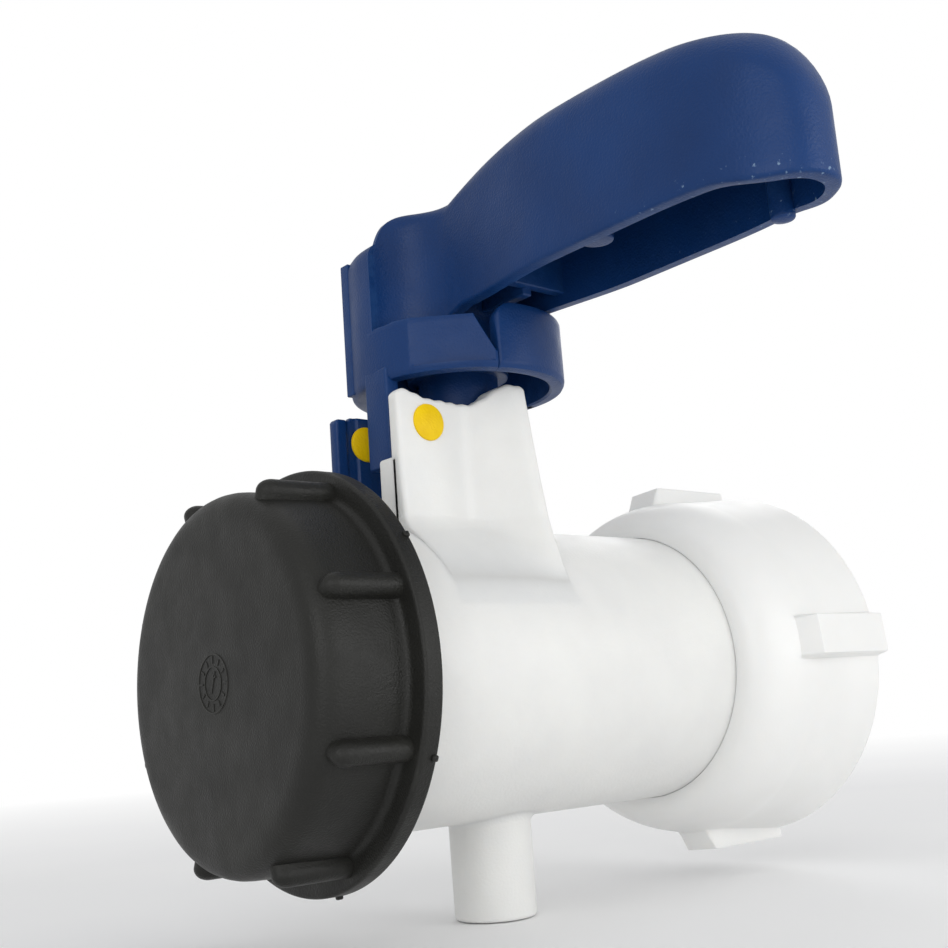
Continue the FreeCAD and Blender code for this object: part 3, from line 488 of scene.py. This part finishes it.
# %% Blue lever plastic
def blue_lever_plastic():
    """The plastic recipe with pale nicks that gather along the near rim."""
    material = plastic("blue_lever", linear(14, 55, 110), linear(12, 48, 98), linear(58, 98, 152),
                       rough=(0.32, 0.46), cloud_scale=40.0, grain=(2000.0, 0.00004), wear=0.5, shine=0.25)
    tree = material.node_tree
    shader = tree.nodes["Principled BSDF"]
    coords = next(n for n in tree.nodes if n.type == "TEX_COORD").outputs["Object"]
    worn = shader.inputs["Base Color"].links[0].from_socket
    place = tree.nodes.new("ShaderNodeSeparateXYZ")
    tree.links.new(coords, place.inputs[0])
    low_band = node(tree, "ShaderNodeMapRange", From_Min=0.0822, From_Max=0.0796)
    outer_half = node(tree, "ShaderNodeMapRange", From_Min=-0.050, From_Max=-0.072)
    tree.links.new(place.outputs["Z"], low_band.inputs["Value"])
    tree.links.new(place.outputs["Y"], outer_half.inputs["Value"])
    nicks = tree.nodes.new("ShaderNodeTexNoise")
    nicks.inputs["Scale"].default_value = 900.0
    nicks.inputs["Detail"].default_value = 4.0
    tree.links.new(coords, nicks.inputs["Vector"])
    picked = node(tree, "ShaderNodeMapRange", From_Min=0.66, From_Max=0.72)
    tree.links.new(nicks.outputs["Fac"], picked.inputs["Value"])
    near_rim = product(tree, low_band.outputs["Result"], outer_half.outputs["Result"])
    nicked = blend_colour(tree, product(tree, product(tree, near_rim, picked.outputs["Result"]), 0.5),
                          worn, linear(150, 178, 205))
    tree.links.new(nicked, shader.inputs["Base Color"])
    return material


blue_plastic = blue_lever_plastic()


# %% Plated steel
def plated_steel():
    """Metal with fine turning marks: rings of a wave texture about the stem, broken by noise."""
    material, tree, shader, coords = finish_base("plated_steel")
    centre = tree.nodes.new("ShaderNodeMapping")
    centre.inputs["Location"].default_value = (-STEM_X * MM, 0, 0)
    tree.links.new(coords, centre.inputs["Vector"])
    rings = tree.nodes.new("ShaderNodeTexWave")
    rings.wave_type = "RINGS"
    rings.rings_direction = "Z"
    rings.inputs["Scale"].default_value = 700.0
    rings.inputs["Distortion"].default_value = 1.5
    tree.links.new(centre.outputs["Vector"], rings.inputs["Vector"])
    tint = blend_colour(tree, cloud(tree, coords, 300.0), linear(196, 196, 192), linear(176, 175, 170))
    tree.links.new(tint, shader.inputs["Base Color"])
    tree.links.new(cloud(tree, coords, 500.0, 3.0, 0.24, 0.42), shader.inputs["Roughness"])
    bump = node(tree, "ShaderNodeBump", Distance=0.00002, Strength=0.6)
    tree.links.new(rings.outputs["Fac"], bump.inputs["Height"])
    tree.links.new(bump.outputs["Normal"], shader.inputs["Normal"])
    shader.inputs["Metallic"].default_value = 1.0
    return material


steel = plated_steel()

# %% Finishes of the solids that keep their shape
KEPT = {
    "nut_split_ring": grey_nylon, "spindle": grey_nylon, "spindle_bush": grey_nylon,
    "inlet_gasket": rubber, "spindle_o_rings": rubber, "lower_o_ring": rubber, "disc_seal": rubber,
    "butterfly_disc": white_body, "cap_gasket": pale_foam, "screw_cover": blue_plastic,
    "handle_screw": steel, "handle_washer": steel,
}
for name, finish in KEPT.items():
    slots = frame["nodes"][name].data.materials
    for number in range(len(slots)):
        slots[number] = finish
    print(name, "gets", finish.name, "in", len(slots), "slot(s)")


# %% Floor
def floor():
    """Round white floor under the stub: plain white near the valve, fading to the surround."""
    mesh = bpy.data.meshes.new("floor")
    turn = np.linspace(0, 2 * np.pi, 96, endpoint=False)
    ring = np.stack([2.5 * np.cos(turn) - 0.08, 2.5 * np.sin(turn), 0 * turn + cad_low.z - 0.0002], axis=-1)
    mesh.from_pydata(ring.tolist(), [], [list(range(96))])
    thing = bpy.data.objects.new("floor", mesh)
    bpy.context.scene.collection.objects.link(thing)
    material, tree, shader, coords = finish_base("floor_white")
    shader.inputs["Roughness"].default_value = 0.9
    tree.links.new(blend_colour(tree, cloud(tree, coords, 8.0), linear(252, 252, 252), linear(249, 249, 250)),
                   shader.inputs["Base Color"])
    away = tree.nodes.new("ShaderNodeVectorMath")
    away.operation = "LENGTH"
    tree.links.new(coords, away.inputs[0])
    fade = node(tree, "ShaderNodeMapRange", From_Min=0.25, From_Max=0.9)
    tree.links.new(away.outputs["Value"], fade.inputs["Value"])
    white = tree.nodes.new("ShaderNodeEmission")
    path = tree.nodes.new("ShaderNodeLightPath")
    mix = tree.nodes.new("ShaderNodeMixShader")
    tree.links.new(product(tree, fade.outputs["Result"], path.outputs["Is Camera Ray"]), mix.inputs[0])
    tree.links.new(shader.outputs[0], mix.inputs[1])
    tree.links.new(white.outputs[0], mix.inputs[2])
    tree.links.new(mix.outputs[0], tree.nodes["Material Output"].inputs["Surface"])
    thing.data.materials.append(material)


floor()

# %% [markdown]
# ## Lever
# The lever is one open trough: a crowned back, upright flanks and a flat rim all round the open
# underside. It could be a box with a bevel and a solidify, but its plan, crown and shoulders all
# change along its length. So its plan outline is a function of one parameter and the profile from
# the back, over the shoulder, down the flank, round the rim and up the inside is carried along it.

# %% Lever sizes
LEVER_REACH = 103.0
LEVER_WALL = 3.0
RIM = 78.6
ROOT_BOTTOM = 75.0
ROOT_TOP = 104.0
ROOT_HALF = 23.0
WAIST_HALF = 11.2
GRIP_HALF = 14.4
GRIP_END = 68.5
BOXY = 0.85                       # below 1 the tip's ellipse turns boxier
CROWN = 111.0
WAIST = ROOT_HALF - WAIST_HALF + 1.0


def lever_top(out):
    """Height of the back: crown - 6.9 * share squared towards the root, and towards the tip
    crown - 4.5 * share squared - 8 * share to the tenth, which rolls the end over."""
    rootward = CROWN - 6.9 * ((50 - np.maximum(out, WAIST)) / (50 - WAIST)) ** 2
    share = np.clip((out - 50) / (LEVER_REACH - 50), 0, 1)
    tipward = CROWN - 4.5 * share ** 2 - 8 * share ** 10
    level = np.where(out < 50, rootward, tipward)
    return np.where(out < WAIST, ROOT_TOP + 0.1 * (np.clip(out, 0, WAIST) / WAIST) ** 4, level)


def lever_rim(out):
    """Height of the rim: lower under the root cheeks and again at the tip."""
    return swell(ROOT_BOTTOM, RIM, (out - 5) / 12) - swell(0, 1.6, (out - LEVER_REACH + 18) / 12)


def lever_half(wall):
    """Half plan outline from the root's rear edge to the tip, drawn in by a wall.
    Returns half width, the way out, and the direction (cos, sin) in which the inset runs."""
    flare = ROOT_HALF - WAIST_HALF + wall
    rear = math.asin((WAIST - wall) / flare) if wall else math.pi / 2
    turn = np.linspace(rear, 0, 18)
    cheek = np.stack([ROOT_HALF - flare * np.cos(turn), WAIST - flare * np.sin(turn)])
    back = cheek[:, :1] * [[1], [0]] + [[0], [wall]]
    out = np.linspace(WAIST, GRIP_END, 46)[1:]
    grip = np.stack([swell(WAIST_HALF, GRIP_HALF, (out - WAIST) / (GRIP_END - WAIST) / 0.6) - wall, out])
    swing = np.linspace(0, np.pi / 2, 34)[1:]
    tip = np.stack([np.full(swing.size, GRIP_HALF - wall),
                    GRIP_END + (LEVER_REACH - GRIP_END - wall) * np.sin(swing) ** BOXY])
    half, out = np.concatenate([back, cheek, grip, tip], axis=1)
    swing = np.concatenate([np.zeros(half.size - swing.size), swing])
    return half[:, None], out[:, None], np.cos(swing)[:, None] ** BOXY, np.sin(swing)[:, None] ** BOXY


def lever_skin(wall, shoulder_less):
    """Grid over half the lever from its flank over the shoulder to the middle of the back.
    x = -(half width - inset) * cos, out = outline - inset * sin, and the height is the back's,
    plus a slight bulge, less the fall to the cheeks and less the quarter round of the shoulder."""
    half, out, cos, sin = lever_half(wall)
    shoulder = swell(3.5, 7.0, (out - WAIST) / 30) + swell(0, 2.0, (out - 80) / 20) - shoulder_less
    shoulder = np.minimum(shoulder, half * 0.85)
    turn = np.linspace(0, np.pi / 2, 10)[None, :]
    across = np.linspace(0, 1, 12)[None, 1:]
    inset = np.concatenate([shoulder * (1 - np.cos(turn)), shoulder + (half - shoulder) * across], axis=1)
    x = -(half - inset) * cos
    place = out - inset * sin
    cheek_fall = 9.0 * np.clip((np.abs(x) - 9.2) / 14, 0, 1) ** 3.2 * swell(1, 0, (place - 8) / 22)
    bulge = 0.08 * (GRIP_HALF - 7) * (1 - (x / GRIP_HALF) ** 2) * swell(0, 1, (place - 8) / 20)
    z = lever_top(place) - wall + bulge - cheek_fall - arc_drop(inset, shoulder)
    return x, place, z


def lever_trough():
    """Outer skin, rim and inner skin as one closed grid, mirrored about the middle plane."""
    x, out, z = lever_skin(0, 0)
    x_in, out_in, z_in = lever_skin(LEVER_WALL, 2.0)
    rim = lever_rim(out[:, :1])
    level = np.array([[0.75, 0.5, 0.25, 0.08]])
    flank = rim + 0.9 + (z[:, :1] - rim - 0.9) * level
    half, way, cos, sin = lever_half(0)
    edge = np.array([[0, 0.12, 0.42, 0.9]])
    lift = np.array([[0.9, 0.42, 0.12, 0]])
    rim_x = -(half - edge) * cos
    rim_out = way - edge * sin
    inner_rim = lever_rim(out_in[:, :1])
    rise = np.array([[0, 0.1, 0.4]])
    inner_flank = inner_rim + 0.4 + (z_in[:, :1] - inner_rim - 0.4) * (1 - level)
    ones = np.ones((1, 4))
    xs = [x[:, ::-1], x[:, :1] * ones, rim_x, x_in[:, :1] * np.ones((1, 3)), x_in[:, :1] * ones, x_in]
    outs = [out[:, ::-1], out[:, :1] * ones, rim_out, out_in[:, :1] * np.ones((1, 3)), out_in[:, :1] * ones,
            out_in]
    zs = [z[:, ::-1], flank, rim + lift, inner_rim + rise, inner_flank, z_in]
    x, out, z = (np.concatenate(parts, axis=1) for parts in (xs, outs, zs))
    x = np.concatenate([x, -x[-2::-1]])
    out = np.concatenate([out, out[-2::-1]])
    z = np.concatenate([z, z[-2::-1]])
    return shell(x, -out, z, ends="ladder")


# %% [markdown]
# ## Hub under the lever
# The hub is a round skirt round the neck, a tall round drum behind the stem and a lower wall in
# front. A flat pads the near side, and a narrow opening parts it from the full-round front wall.
# The wall is a grid of angle and section, whose radius and top height are functions of the angle.

# %% Hub sizes
SKIRT_RADIUS = 24.5
SKIRT_INSIDE = 21.0
SKIRT_BOTTOM = 62.9
HUB_TOP = 96.0
FACET_WAY, FACET_PLACE, FACET_FOOT = 228.0, 22.7, 64.6


def near_wall():
    """Front half of the skirt. Outer radius: the circle, or the flat's distance over the cosine
    of the angle from it where that is less, above the foot. The top follows the lever's rim; it
    falls away to the opening at 241 to 251 degrees and comes back with a rounded corner."""
    angle = np.concatenate([np.linspace(178, 238, 90), np.linspace(238.4, 262, 110),
                            np.linspace(263, 362, 120)])[:, None]
    rim = lever_rim(-SKIRT_RADIUS * np.sin(np.radians(angle))) + 0.35
    rim = np.where(angle < 251.2, np.minimum(rim, 75.6), rim)
    falling = np.clip((angle - 240.5) / 10, 0, 1)
    corner = np.clip((angle - 251.2) / 9.5, 0, 1)
    rising = rim - 1.0 - 4.2 * (1 - np.sqrt(np.maximum(1 - (1 - corner) ** 2, 0)))
    top = np.where(angle < 251.2, rim - (rim - 67.0) * falling, rising)
    front = angle > 251.2
    sunk = np.where(
        front, 1.3 * (1 - np.sqrt(np.maximum(1 - (1 - np.clip((angle - 251.2) / 3, 0, 1)) ** 2, 0))), 0)
    foot_round = np.array([[2.6, 0.9, 0.25, 0.0, 0.0]])
    foot_level = np.array([[0.0, 0.25, 0.9, 1.5, 1.62]])
    share = np.array([[0, 0.08, 0.3, 0.6, 0.9, 1.0]])
    low = SKIRT_BOTTOM + foot_level
    high = FACET_FOOT + 0.12 + (top - 0.6 - FACET_FOOT - 0.12) * share
    z = np.concatenate([np.broadcast_to(low, (angle.size, 5)), high, top - 0.15, top], axis=1)
    flat = FACET_PLACE / np.cos(np.radians(np.clip(angle - FACET_WAY, -40, 40)))
    drawn = np.minimum(SKIRT_RADIUS, flat)
    round_part = SKIRT_RADIUS - sunk
    upper = np.where((angle > 196) & (angle < 251.2), drawn, round_part)
    radius = np.concatenate([round_part - foot_round * 0.6, np.repeat(upper, 6, axis=1),
                             upper - 0.2, upper - 0.7], axis=1)
    inner_z = np.concatenate([top, top - 0.4, SKIRT_BOTTOM + 0.4 + 0 * top, SKIRT_BOTTOM + 0 * top], axis=1)
    inner = np.concatenate([0 * top + SKIRT_INSIDE + 0.5, 0 * top + SKIRT_INSIDE, 0 * top + SKIRT_INSIDE,
                            0 * top + SKIRT_INSIDE + 0.5], axis=1)
    z = np.concatenate([z, inner_z], axis=1)
    radius = np.concatenate([radius, inner], axis=1)
    turn = np.radians(angle)
    return shell(radius * np.cos(turn), radius * np.sin(turn), z, cols_meet=True, ends="flat")


def rear_drum():
    """Back half of the hub: a closed section (radius, height) carried through half a turn."""
    section = softened([(SKIRT_RADIUS, SKIRT_BOTTOM, 1.6), (SKIRT_RADIUS, HUB_TOP, 4.5), (0, HUB_TOP, 0),
                        (0, HUB_TOP - 3, 0), (SKIRT_INSIDE, HUB_TOP - 3, 1.5),
                         (SKIRT_INSIDE, SKIRT_BOTTOM, 0.5)], 6)
    turn = np.radians(np.linspace(-2.5, 182.5, 120))[:, None]
    radius, height = section[:, 0][None, :], section[:, 1][None, :]
    return shell(radius * np.cos(turn), radius * np.sin(turn), height + 0 * turn, cols_meet=True, ends="flat")


def spindle_boss():
    """Boss round the spindle with the pocket for the screw and the seat for its cover; its lower
    sleeve reaches down to the neck."""
    return turned_z(softened([(5.75, 57.6, 0), (9.2, 57.6, 0.5), (9.2, 66.4, 0), (11.7, 66.4, 0.6),
                              (12, 99, 0), (12, 101, 1.0), (9.7, 101, 0.4),
                              (9.7, 98, 0.2), (8.0, 98, 0.3), (8.0, 87.5, 0.3), (5.75, 87.5, 0)]), 96)


# %% Plate, tab and ribs of the hub
PLATE_FRONT, PLATE_BACK = 9.6, 12.5


def lock_plate_front(x, z):
    """Face of the rear lock plate: three upright flutes pressed into it beside the plug's pad."""
    flutes = 0.55 * (swell(0, 1, (x + 25.4) / 0.7) - swell(0, 1, (x + 22.6) / 0.7))
    flutes = flutes + 0.35 * (swell(0, 1, (x + 14.6) / 0.8) - swell(0, 1, (x + 11.0) / 0.8))
    return PLATE_FRONT + flutes + 0 * z


def lock_plate_top(x):
    """Top edge of the plate, with a shallow notch over the plug and a rounded outer corner."""
    notch = 0.7 * (swell(0, 1, (x + 24.2) / 0.8) - swell(0, 1, (x + 14.2) / 0.9))
    return 57.4 + notch - arc_drop(np.minimum(x + 28, 30), 1.2)


def hub_and_ribs():
    """Everything inside and below the lever that belongs to its moulding."""
    plate_x = np.concatenate([np.linspace(-28, -26.6, 9), np.linspace(-26.4, 5.6, 110),
                              np.linspace(5.7, 7, 8)])
    plate = standing_wall(plate_x, lock_plate_front, PLATE_BACK, 34.0, lock_plate_top, 0.7)
    return [
        near_wall(),
        rear_drum(),
        spindle_boss(),
        plate,
        soft_block((-12, PLATE_FRONT, 56.5), (7, PLATE_BACK, 64.5), 0.4),
        soft_block((-22.6, PLATE_FRONT, 63.4), (22.6, PLATE_BACK, 94.5), 0.3),
        soft_block((-1.5, 11, 66.9), (1.5, 23, 94.5), 0.3),
        soft_block((-SKIRT_RADIUS, -5, 44), (-SKIRT_INSIDE, 3, 66), 0.7),
        soft_block((-10.4, -27.4, 81.2), (10.4, -24.6, 104), 0.4),
        soft_block((-1.3, -25.6, 79.6), (1.3, -11.6, 101), 0.4),
        soft_block((-9.6, -30.2, 81.4), (-5.8, -27.8, 96), 0.5, turn_z=38),
        soft_block((-9.6, -24.4, 81.4), (-5.8, -22.0, 96), 0.5, turn_z=-38),
        soft_block((-1.2, -90, 88.0), (1.2, -48, 106), 0.4),
        turned_z(softened([(0, RIM + 0.25, 0), (3.3, RIM + 0.25, 0.5), (3.3, 99, 0), (0, 99, 0)]), 32,
                 -10.5, -57),
        turned_z(softened([(0, 76.4, 0), (2.4, 76.9, 0.6), (2.4, 98, 0), (0, 100, 0)]), 28, 9.2, -86),
    ]


moulding("lever_and_hub", [lever_trough()] + hub_and_ribs(), "lever_and_disc", blue_plastic,
         ["handle"])

# %% [markdown]
# ## Valve body
# The body is a straight tube with a threaded spout, a neck for the spindle, a stub under it and an
# upright wing that takes the lock plug. Union of cylinders would leave hard seams where they meet.
# Here the neck and the stub follow the tube's own curve with a fillet, and the wing's face is one
# height function that runs out into the tube through a soft maximum.

# %% Body sizes
TUBE = 31.5
BORE = 25.0
SPOUT_ROOT = 27.4
SPOUT_CREST = 29.9
SPOUT_MOUTH, SPOUT_SHOULDER, TUBE_SEAT = -60.5, -43.9, 66.0
THREAD_SINK = 0.2


def tube_and_spout():
    """Closed section (station, radius) of tube, ring groove, bore and spout, turned about the flow."""
    return turned_x(softened([
        (SPOUT_MOUTH, BORE, 0.6), (SPOUT_MOUTH, SPOUT_ROOT, 0.6), (SPOUT_SHOULDER, SPOUT_ROOT, 0.8),
        (SPOUT_SHOULDER, TUBE, 1.2), (60, TUBE, 0.3), (60, TUBE - 1.8, 0.2), (65, TUBE - 1.8, 0.2),
        (65, TUBE, 0.3), (TUBE_SEAT, TUBE, 0.4), (TUBE_SEAT, BORE, 0.8)]), 180)


def tube_height(y):
    """Height of the tube's round at a given distance from its middle plane."""
    return np.sqrt(np.maximum(TUBE ** 2 - y ** 2, 0))


def neck():
    """Bearing neck. Fillet: radius = neck + f * (1 - sin a), height above the tube = f * (1 - cos a),
    so the foot follows the tube's own curve; above it the neck is straight and hollow."""
    radius, fillet, top = 9.2, 3.2, 57.3
    turn = np.linspace(0, 2 * np.pi, 120, endpoint=False)[:, None]
    a = np.linspace(0, np.pi / 2, 10)[None, :]
    foot = radius + fillet * (1 - np.sin(a)) + 0 * turn
    foot_z = tube_height(foot * np.sin(turn)) + fillet * (1 - np.cos(a))
    upper = softened([(9.2, 50, 0), (radius, top, 0.7), (7.4, top, 0.2), (7.4, 48, 0), (6.15, 48, 0),
                      (6.15, 27, 0)])
    r = np.concatenate([0 * turn + radius + fillet, foot, upper[None, :, 0] + 0 * turn], axis=1)
    z = np.concatenate([foot_z[:, :1] - 1.5, foot_z, upper[None, :, 1] + 0 * turn], axis=1)
    return shell(r * np.cos(turn), r * np.sin(turn), z, rows_meet=True, cols_meet=True)


def stub():
    """Closed stub below the tube, with the neck's kind of fillet and a rounded end."""
    radius, fillet = 8.9, 1.6
    turn = np.linspace(0, 2 * np.pi, 96, endpoint=False)[:, None]
    a = np.linspace(0, np.pi / 2, 8)[None, :]
    foot = radius + fillet * (1 - np.sin(a)) + 0 * turn
    foot_z = tube_height(foot * np.sin(turn)) + fillet * (1 - np.cos(a))
    end = -cad_low.z / MM
    lower = softened([(radius - 0.05, 44, 0), (radius - 0.15, end, 0.9), (0, end, 0)])
    r = np.concatenate([0 * turn, 0 * turn + radius + fillet, foot, lower[None, :, 0] + 0 * turn], axis=1)
    z = np.concatenate([foot_z[:, :1].mean() - 3 + 0 * turn, foot_z[:, :1] - 1.5, foot_z,
                        lower[None, :, 1] + 0 * turn], axis=1)
    return shell(r * np.cos(turn), r * np.sin(turn), -z, rows_meet=True)


# %% Wing
WING_LEFT, WING_RIGHT, WING_FACE, WING_BACK = -28.0, 5.0, 13.0, -9.5


def wing_front(x, z):
    """Face of the wing. Flat at the plug; a shallow hollow; then it swells to the gusset, whose
    reach is 17 at the top and 6 more at the foot. Near the tube: half of the sum of face and tube
    plus the root of their squared difference and a width, which is a rounded maximum."""
    reach = 17 + 6 * np.clip((62 - z) / 42, 0, 1)
    rise = swell(0, 1, (x + 11.5) / 15.5) ** 1.25
    face = WING_FACE - 0.9 * np.exp(-((x + 9.5) / 5.0) ** 2) + (reach - WING_FACE) * rise
    tube = tube_height(z)
    width = 5.0 * swell(0, 1, (46 - z) / 14) * swell(0, 1, (z - 13) / 13)
    blended = (face + tube + np.sqrt((face - tube) ** 2 + width ** 2)) / 2
    return -(blended - 0.3 * swell(0, 1, (19 - z) / 6))


def wing_top(x):
    """Top edge: high at the plug end, a wavy dip in the middle, highest at the gusset."""
    level = 58.9 - 1.5 * swell(0, 1, (x + 26) / 7) + 4.6 * swell(0, 1, (x + 8) / 9)
    return level + 0.12 * np.sin(x * 1.9) - arc_drop(np.minimum(x - WING_LEFT, WING_RIGHT - x), 2.0)


def wing():
    """The wing with its web to the neck and the two stops for the handle."""
    x = np.concatenate([WING_LEFT + 2 * (1 - np.cos(np.linspace(0, np.pi / 2, 9))),
                        np.linspace(WING_LEFT + 2, WING_RIGHT - 2, 64)[1:-1],
                        WING_RIGHT - 2 * (1 - np.cos(np.linspace(np.pi / 2, 0, 9)))])
    return [
        standing_wall(x, wing_front, WING_BACK, 12.0, wing_top, 1.0, levels=60),
        soft_block((-5, -12, 22), (5, -4.6, 56.8), 0.6),
        soft_block((-28, -12, 22), (-21, -5.3, 44.6), 0.8),
        soft_block((12.8, 12.5, 22), (16.8, 21, 46), 0.8),
    ]


# %% Join the body
body = [tube_and_spout(), thread(-58.55, 2.0, SPOUT_ROOT - THREAD_SINK, SPOUT_CREST), neck(), stub()] + wing()
moulding("body_moulding", body, "root", white_body, ["valve_body"])

# %% [markdown]
# ## Union nut
# The nut has a domed shoulder, a slightly conical skirt and four grip lugs. Lugs added as blocks
# would need their seams rounded, so they are written into the radius itself: a share that is one
# on the lug and falls smoothly at its flanks lifts the skirt out to a flat.

# %% Nut
NUT_BACK = 50.0
NUT_THROAT, NUT_ROOT, NUT_LEAD = 31.6, 37.7, 38.2
LUG_TURN, LUG_FLAT = -4.5, 45.45


def nut_angles():
    """Angles round the nut, close together on the flanks of its four lugs."""
    near = np.concatenate([np.linspace(-45, -8, 17), np.linspace(-7.6, -5.2, 14), np.linspace(-4.6, 4.6, 7),
                           np.linspace(5.2, 7.6, 14), np.linspace(8, 45, 17)[:-1]])
    return np.radians((near[None, :] + 90 * np.arange(4)[:, None] + LUG_TURN).reshape(-1))


def nut_shell():
    """Turned section whose outer radius r becomes r + share * (flat / cos(angle) - r)."""
    t = np.linspace(0, np.pi / 2, 22)
    dome = np.stack([NUT_BACK + 17 * (1 - np.cos(t)), 32.9 + 8.3 * np.sin(t)], axis=-1)
    skirt = np.stack([np.linspace(67.6, 88.8, 14), np.linspace(41.25, 43.35, 14)], axis=-1)
    rim = np.array([[89.4, 43.3], [89.8, 43.05], [90.0, 42.6]])
    inside = softened([(90, 38.8, 0), (89.4, NUT_LEAD, 0.2), (85.5, NUT_LEAD, 0.1), (85.5, NUT_ROOT, 0.1),
                       (59.7, NUT_ROOT, 0.4), (59.7, NUT_THROAT, 0.3), (NUT_BACK, NUT_THROAT, 0)])
    profile = np.concatenate([dome, skirt, rim, inside])
    outside = (np.arange(len(profile)) < len(dome) + len(skirt) + len(rim))[None, :]

    def with_lugs(along, radius, turn):
        offset = np.degrees(turn) - LUG_TURN
        offset = (offset + 45) % 90 - 45
        share = swell(1, 0, (np.abs(offset) - 5.5) / 1.7) * swell(0, 1, (along - 61.6) / 3.2) * outside
        flat = LUG_FLAT / np.cos(np.radians(offset))
        return along + 0.4 * share * (along > 88), radius + share * (flat - radius)

    return turned_x(profile, nut_angles(), grow=with_lugs)


moulding("union_nut_moulding", [nut_shell(), thread(72.0, 2.0, NUT_ROOT + THREAD_SINK, 35.0)], "nut",
         white_nut, ["union_nut"])

# %% [markdown]
# ## Dust cap
# A turned cap with a rounded face, a flange and eight grip ribs with bullet noses. The face carries
# a round dial like the date wheel of a mould: a ring, twelve ticks and a pointer, no lettering.

# %% Cap sizes
CAP_FRONT, CAP_RELIEF = -65.5, 0.14
CAP_WALL, CAP_INSIDE = 36.4, 30.35
FLANGE_FRONT, FLANGE_BACK, FLANGE = -47.35, -43.15, 41.4


def cap_shell():
    """Closed section (station, radius) from the middle of the face round to the inside."""
    face = CAP_FRONT + CAP_RELIEF
    return turned_x(softened([
        (face, 0, 0), (face, CAP_WALL - 0.3, 5.4), (FLANGE_FRONT, CAP_WALL + 0.3, 1.6),
        (FLANGE_FRONT + 0.3, FLANGE, 0.9), (FLANGE_BACK, FLANGE, 0.5), (FLANGE_BACK, 31.9, 0.3),
        (-44.5, 31.9, 0.2),
        (-44.5, CAP_INSIDE, 0.3), (-62.5, CAP_INSIDE, 0.8), (-62.5, 0, 0)], 8), 192)


def grip_rib():
    """Rib along the wall: its section is a round-topped upright, and over the nose its width and
    height shrink as the sine of the run while the station moves as one minus the cosine."""
    half, axis, foot, tip, end = 2.3, 37.3, 33.5, -62.8, -46.8
    run = np.linspace(0, np.pi / 2, 9)
    along = np.concatenate([tip + half * 1.35 * (1 - np.cos(run)), [-52, end]])[:, None]
    scale = np.concatenate([np.sin(run), [1.0, 1.04]])[:, None]
    side = np.linspace(-np.pi / 2, np.pi / 2, 15)[None, :]
    across = np.concatenate([-half * scale, half * scale * np.sin(side), half * scale], axis=1)
    up = np.concatenate([foot + 0 * scale, axis + half * scale * np.cos(side), foot + 0 * scale], axis=1)
    return shell(along + 0 * across, across, up, cols_meet=True, ends="flat")


def cap_dial():
    """Raised ring, ticks and pointer at the middle of the face."""
    back = CAP_FRONT + CAP_RELIEF + 0.2
    ring = turned_x(np.array([(back, 5.25), (CAP_FRONT, 5.35), (CAP_FRONT, 5.65), (back, 5.75)]), 72)
    inner = turned_x(np.array([(back, 2.95), (CAP_FRONT, 3.02), (CAP_FRONT, 3.22), (back, 3.3)]), 72)
    ticks = [round_flow(soft_block((CAP_FRONT, -0.2, 3.7), (back, 0.2, 4.9 if k % 3 else 5.2), 0.07), 30 * k)
             for k in range(12)]
    pointer = [round_flow(soft_block((CAP_FRONT, -0.22, -1.9), (back, 0.22, 2.4), 0.07), 20),
               round_flow(soft_block((CAP_FRONT, -0.7, 1.2), (back, 0.7, 1.7), 0.07), 20)]
    return [ring, inner] + ticks + pointer


# %% Join the cap
ribs = [round_flow(grip_rib(), 22.5 + 45 * k) for k in range(8)]
nibs = [round_flow(soft_block((-44.5, -0.6, 40.6), (-43.2, 0.6, 42.0), 0.35), 55 + 58 * k) for k in range(5)]
moulding("cap_moulding", [cap_shell(), thread(-55.55, 1.55, CAP_INSIDE + THREAD_SINK, 27.85)] + ribs + nibs
         + cap_dial(), "cap", black_cap, ["dust_cap"])

# %% [markdown]
# ## Lock plugs
# Two yellow plugs, one in the wing and one in the handle's rear plate. Each head is a shallow dome
# with a rolled edge: the profile is a parabola of the radius, turned about Y.

# %% Plugs
def lock_plug(face):
    """Dome y = face - 0.45 - 0.55 * (1 - (r / 3.7) squared), a rolled edge and the shank behind."""
    r = np.linspace(0, 3.7, 10)
    dome = np.stack([r, face - 0.45 - 0.55 * (1 - (r / 3.7) ** 2)], axis=-1)
    edge = np.array([[3.9, face - 0.35], [4.0, face - 0.1], [4.0, face + 0.2], [3.2, face + 0.2]])
    shank = np.array([[3.2, face + 3.4], [0.0, face + 3.4]])
    return turned_y(np.concatenate([dome, edge, shank]), -20.0, 52.0)


moulding("front_plug", [lock_plug(-WING_FACE)], "root", yellow_plug, ["front_lock_plug"])
moulding("rear_plug", [lock_plug(PLATE_FRONT)], "lever_and_disc", yellow_plug, ["rear_lock_plug"])
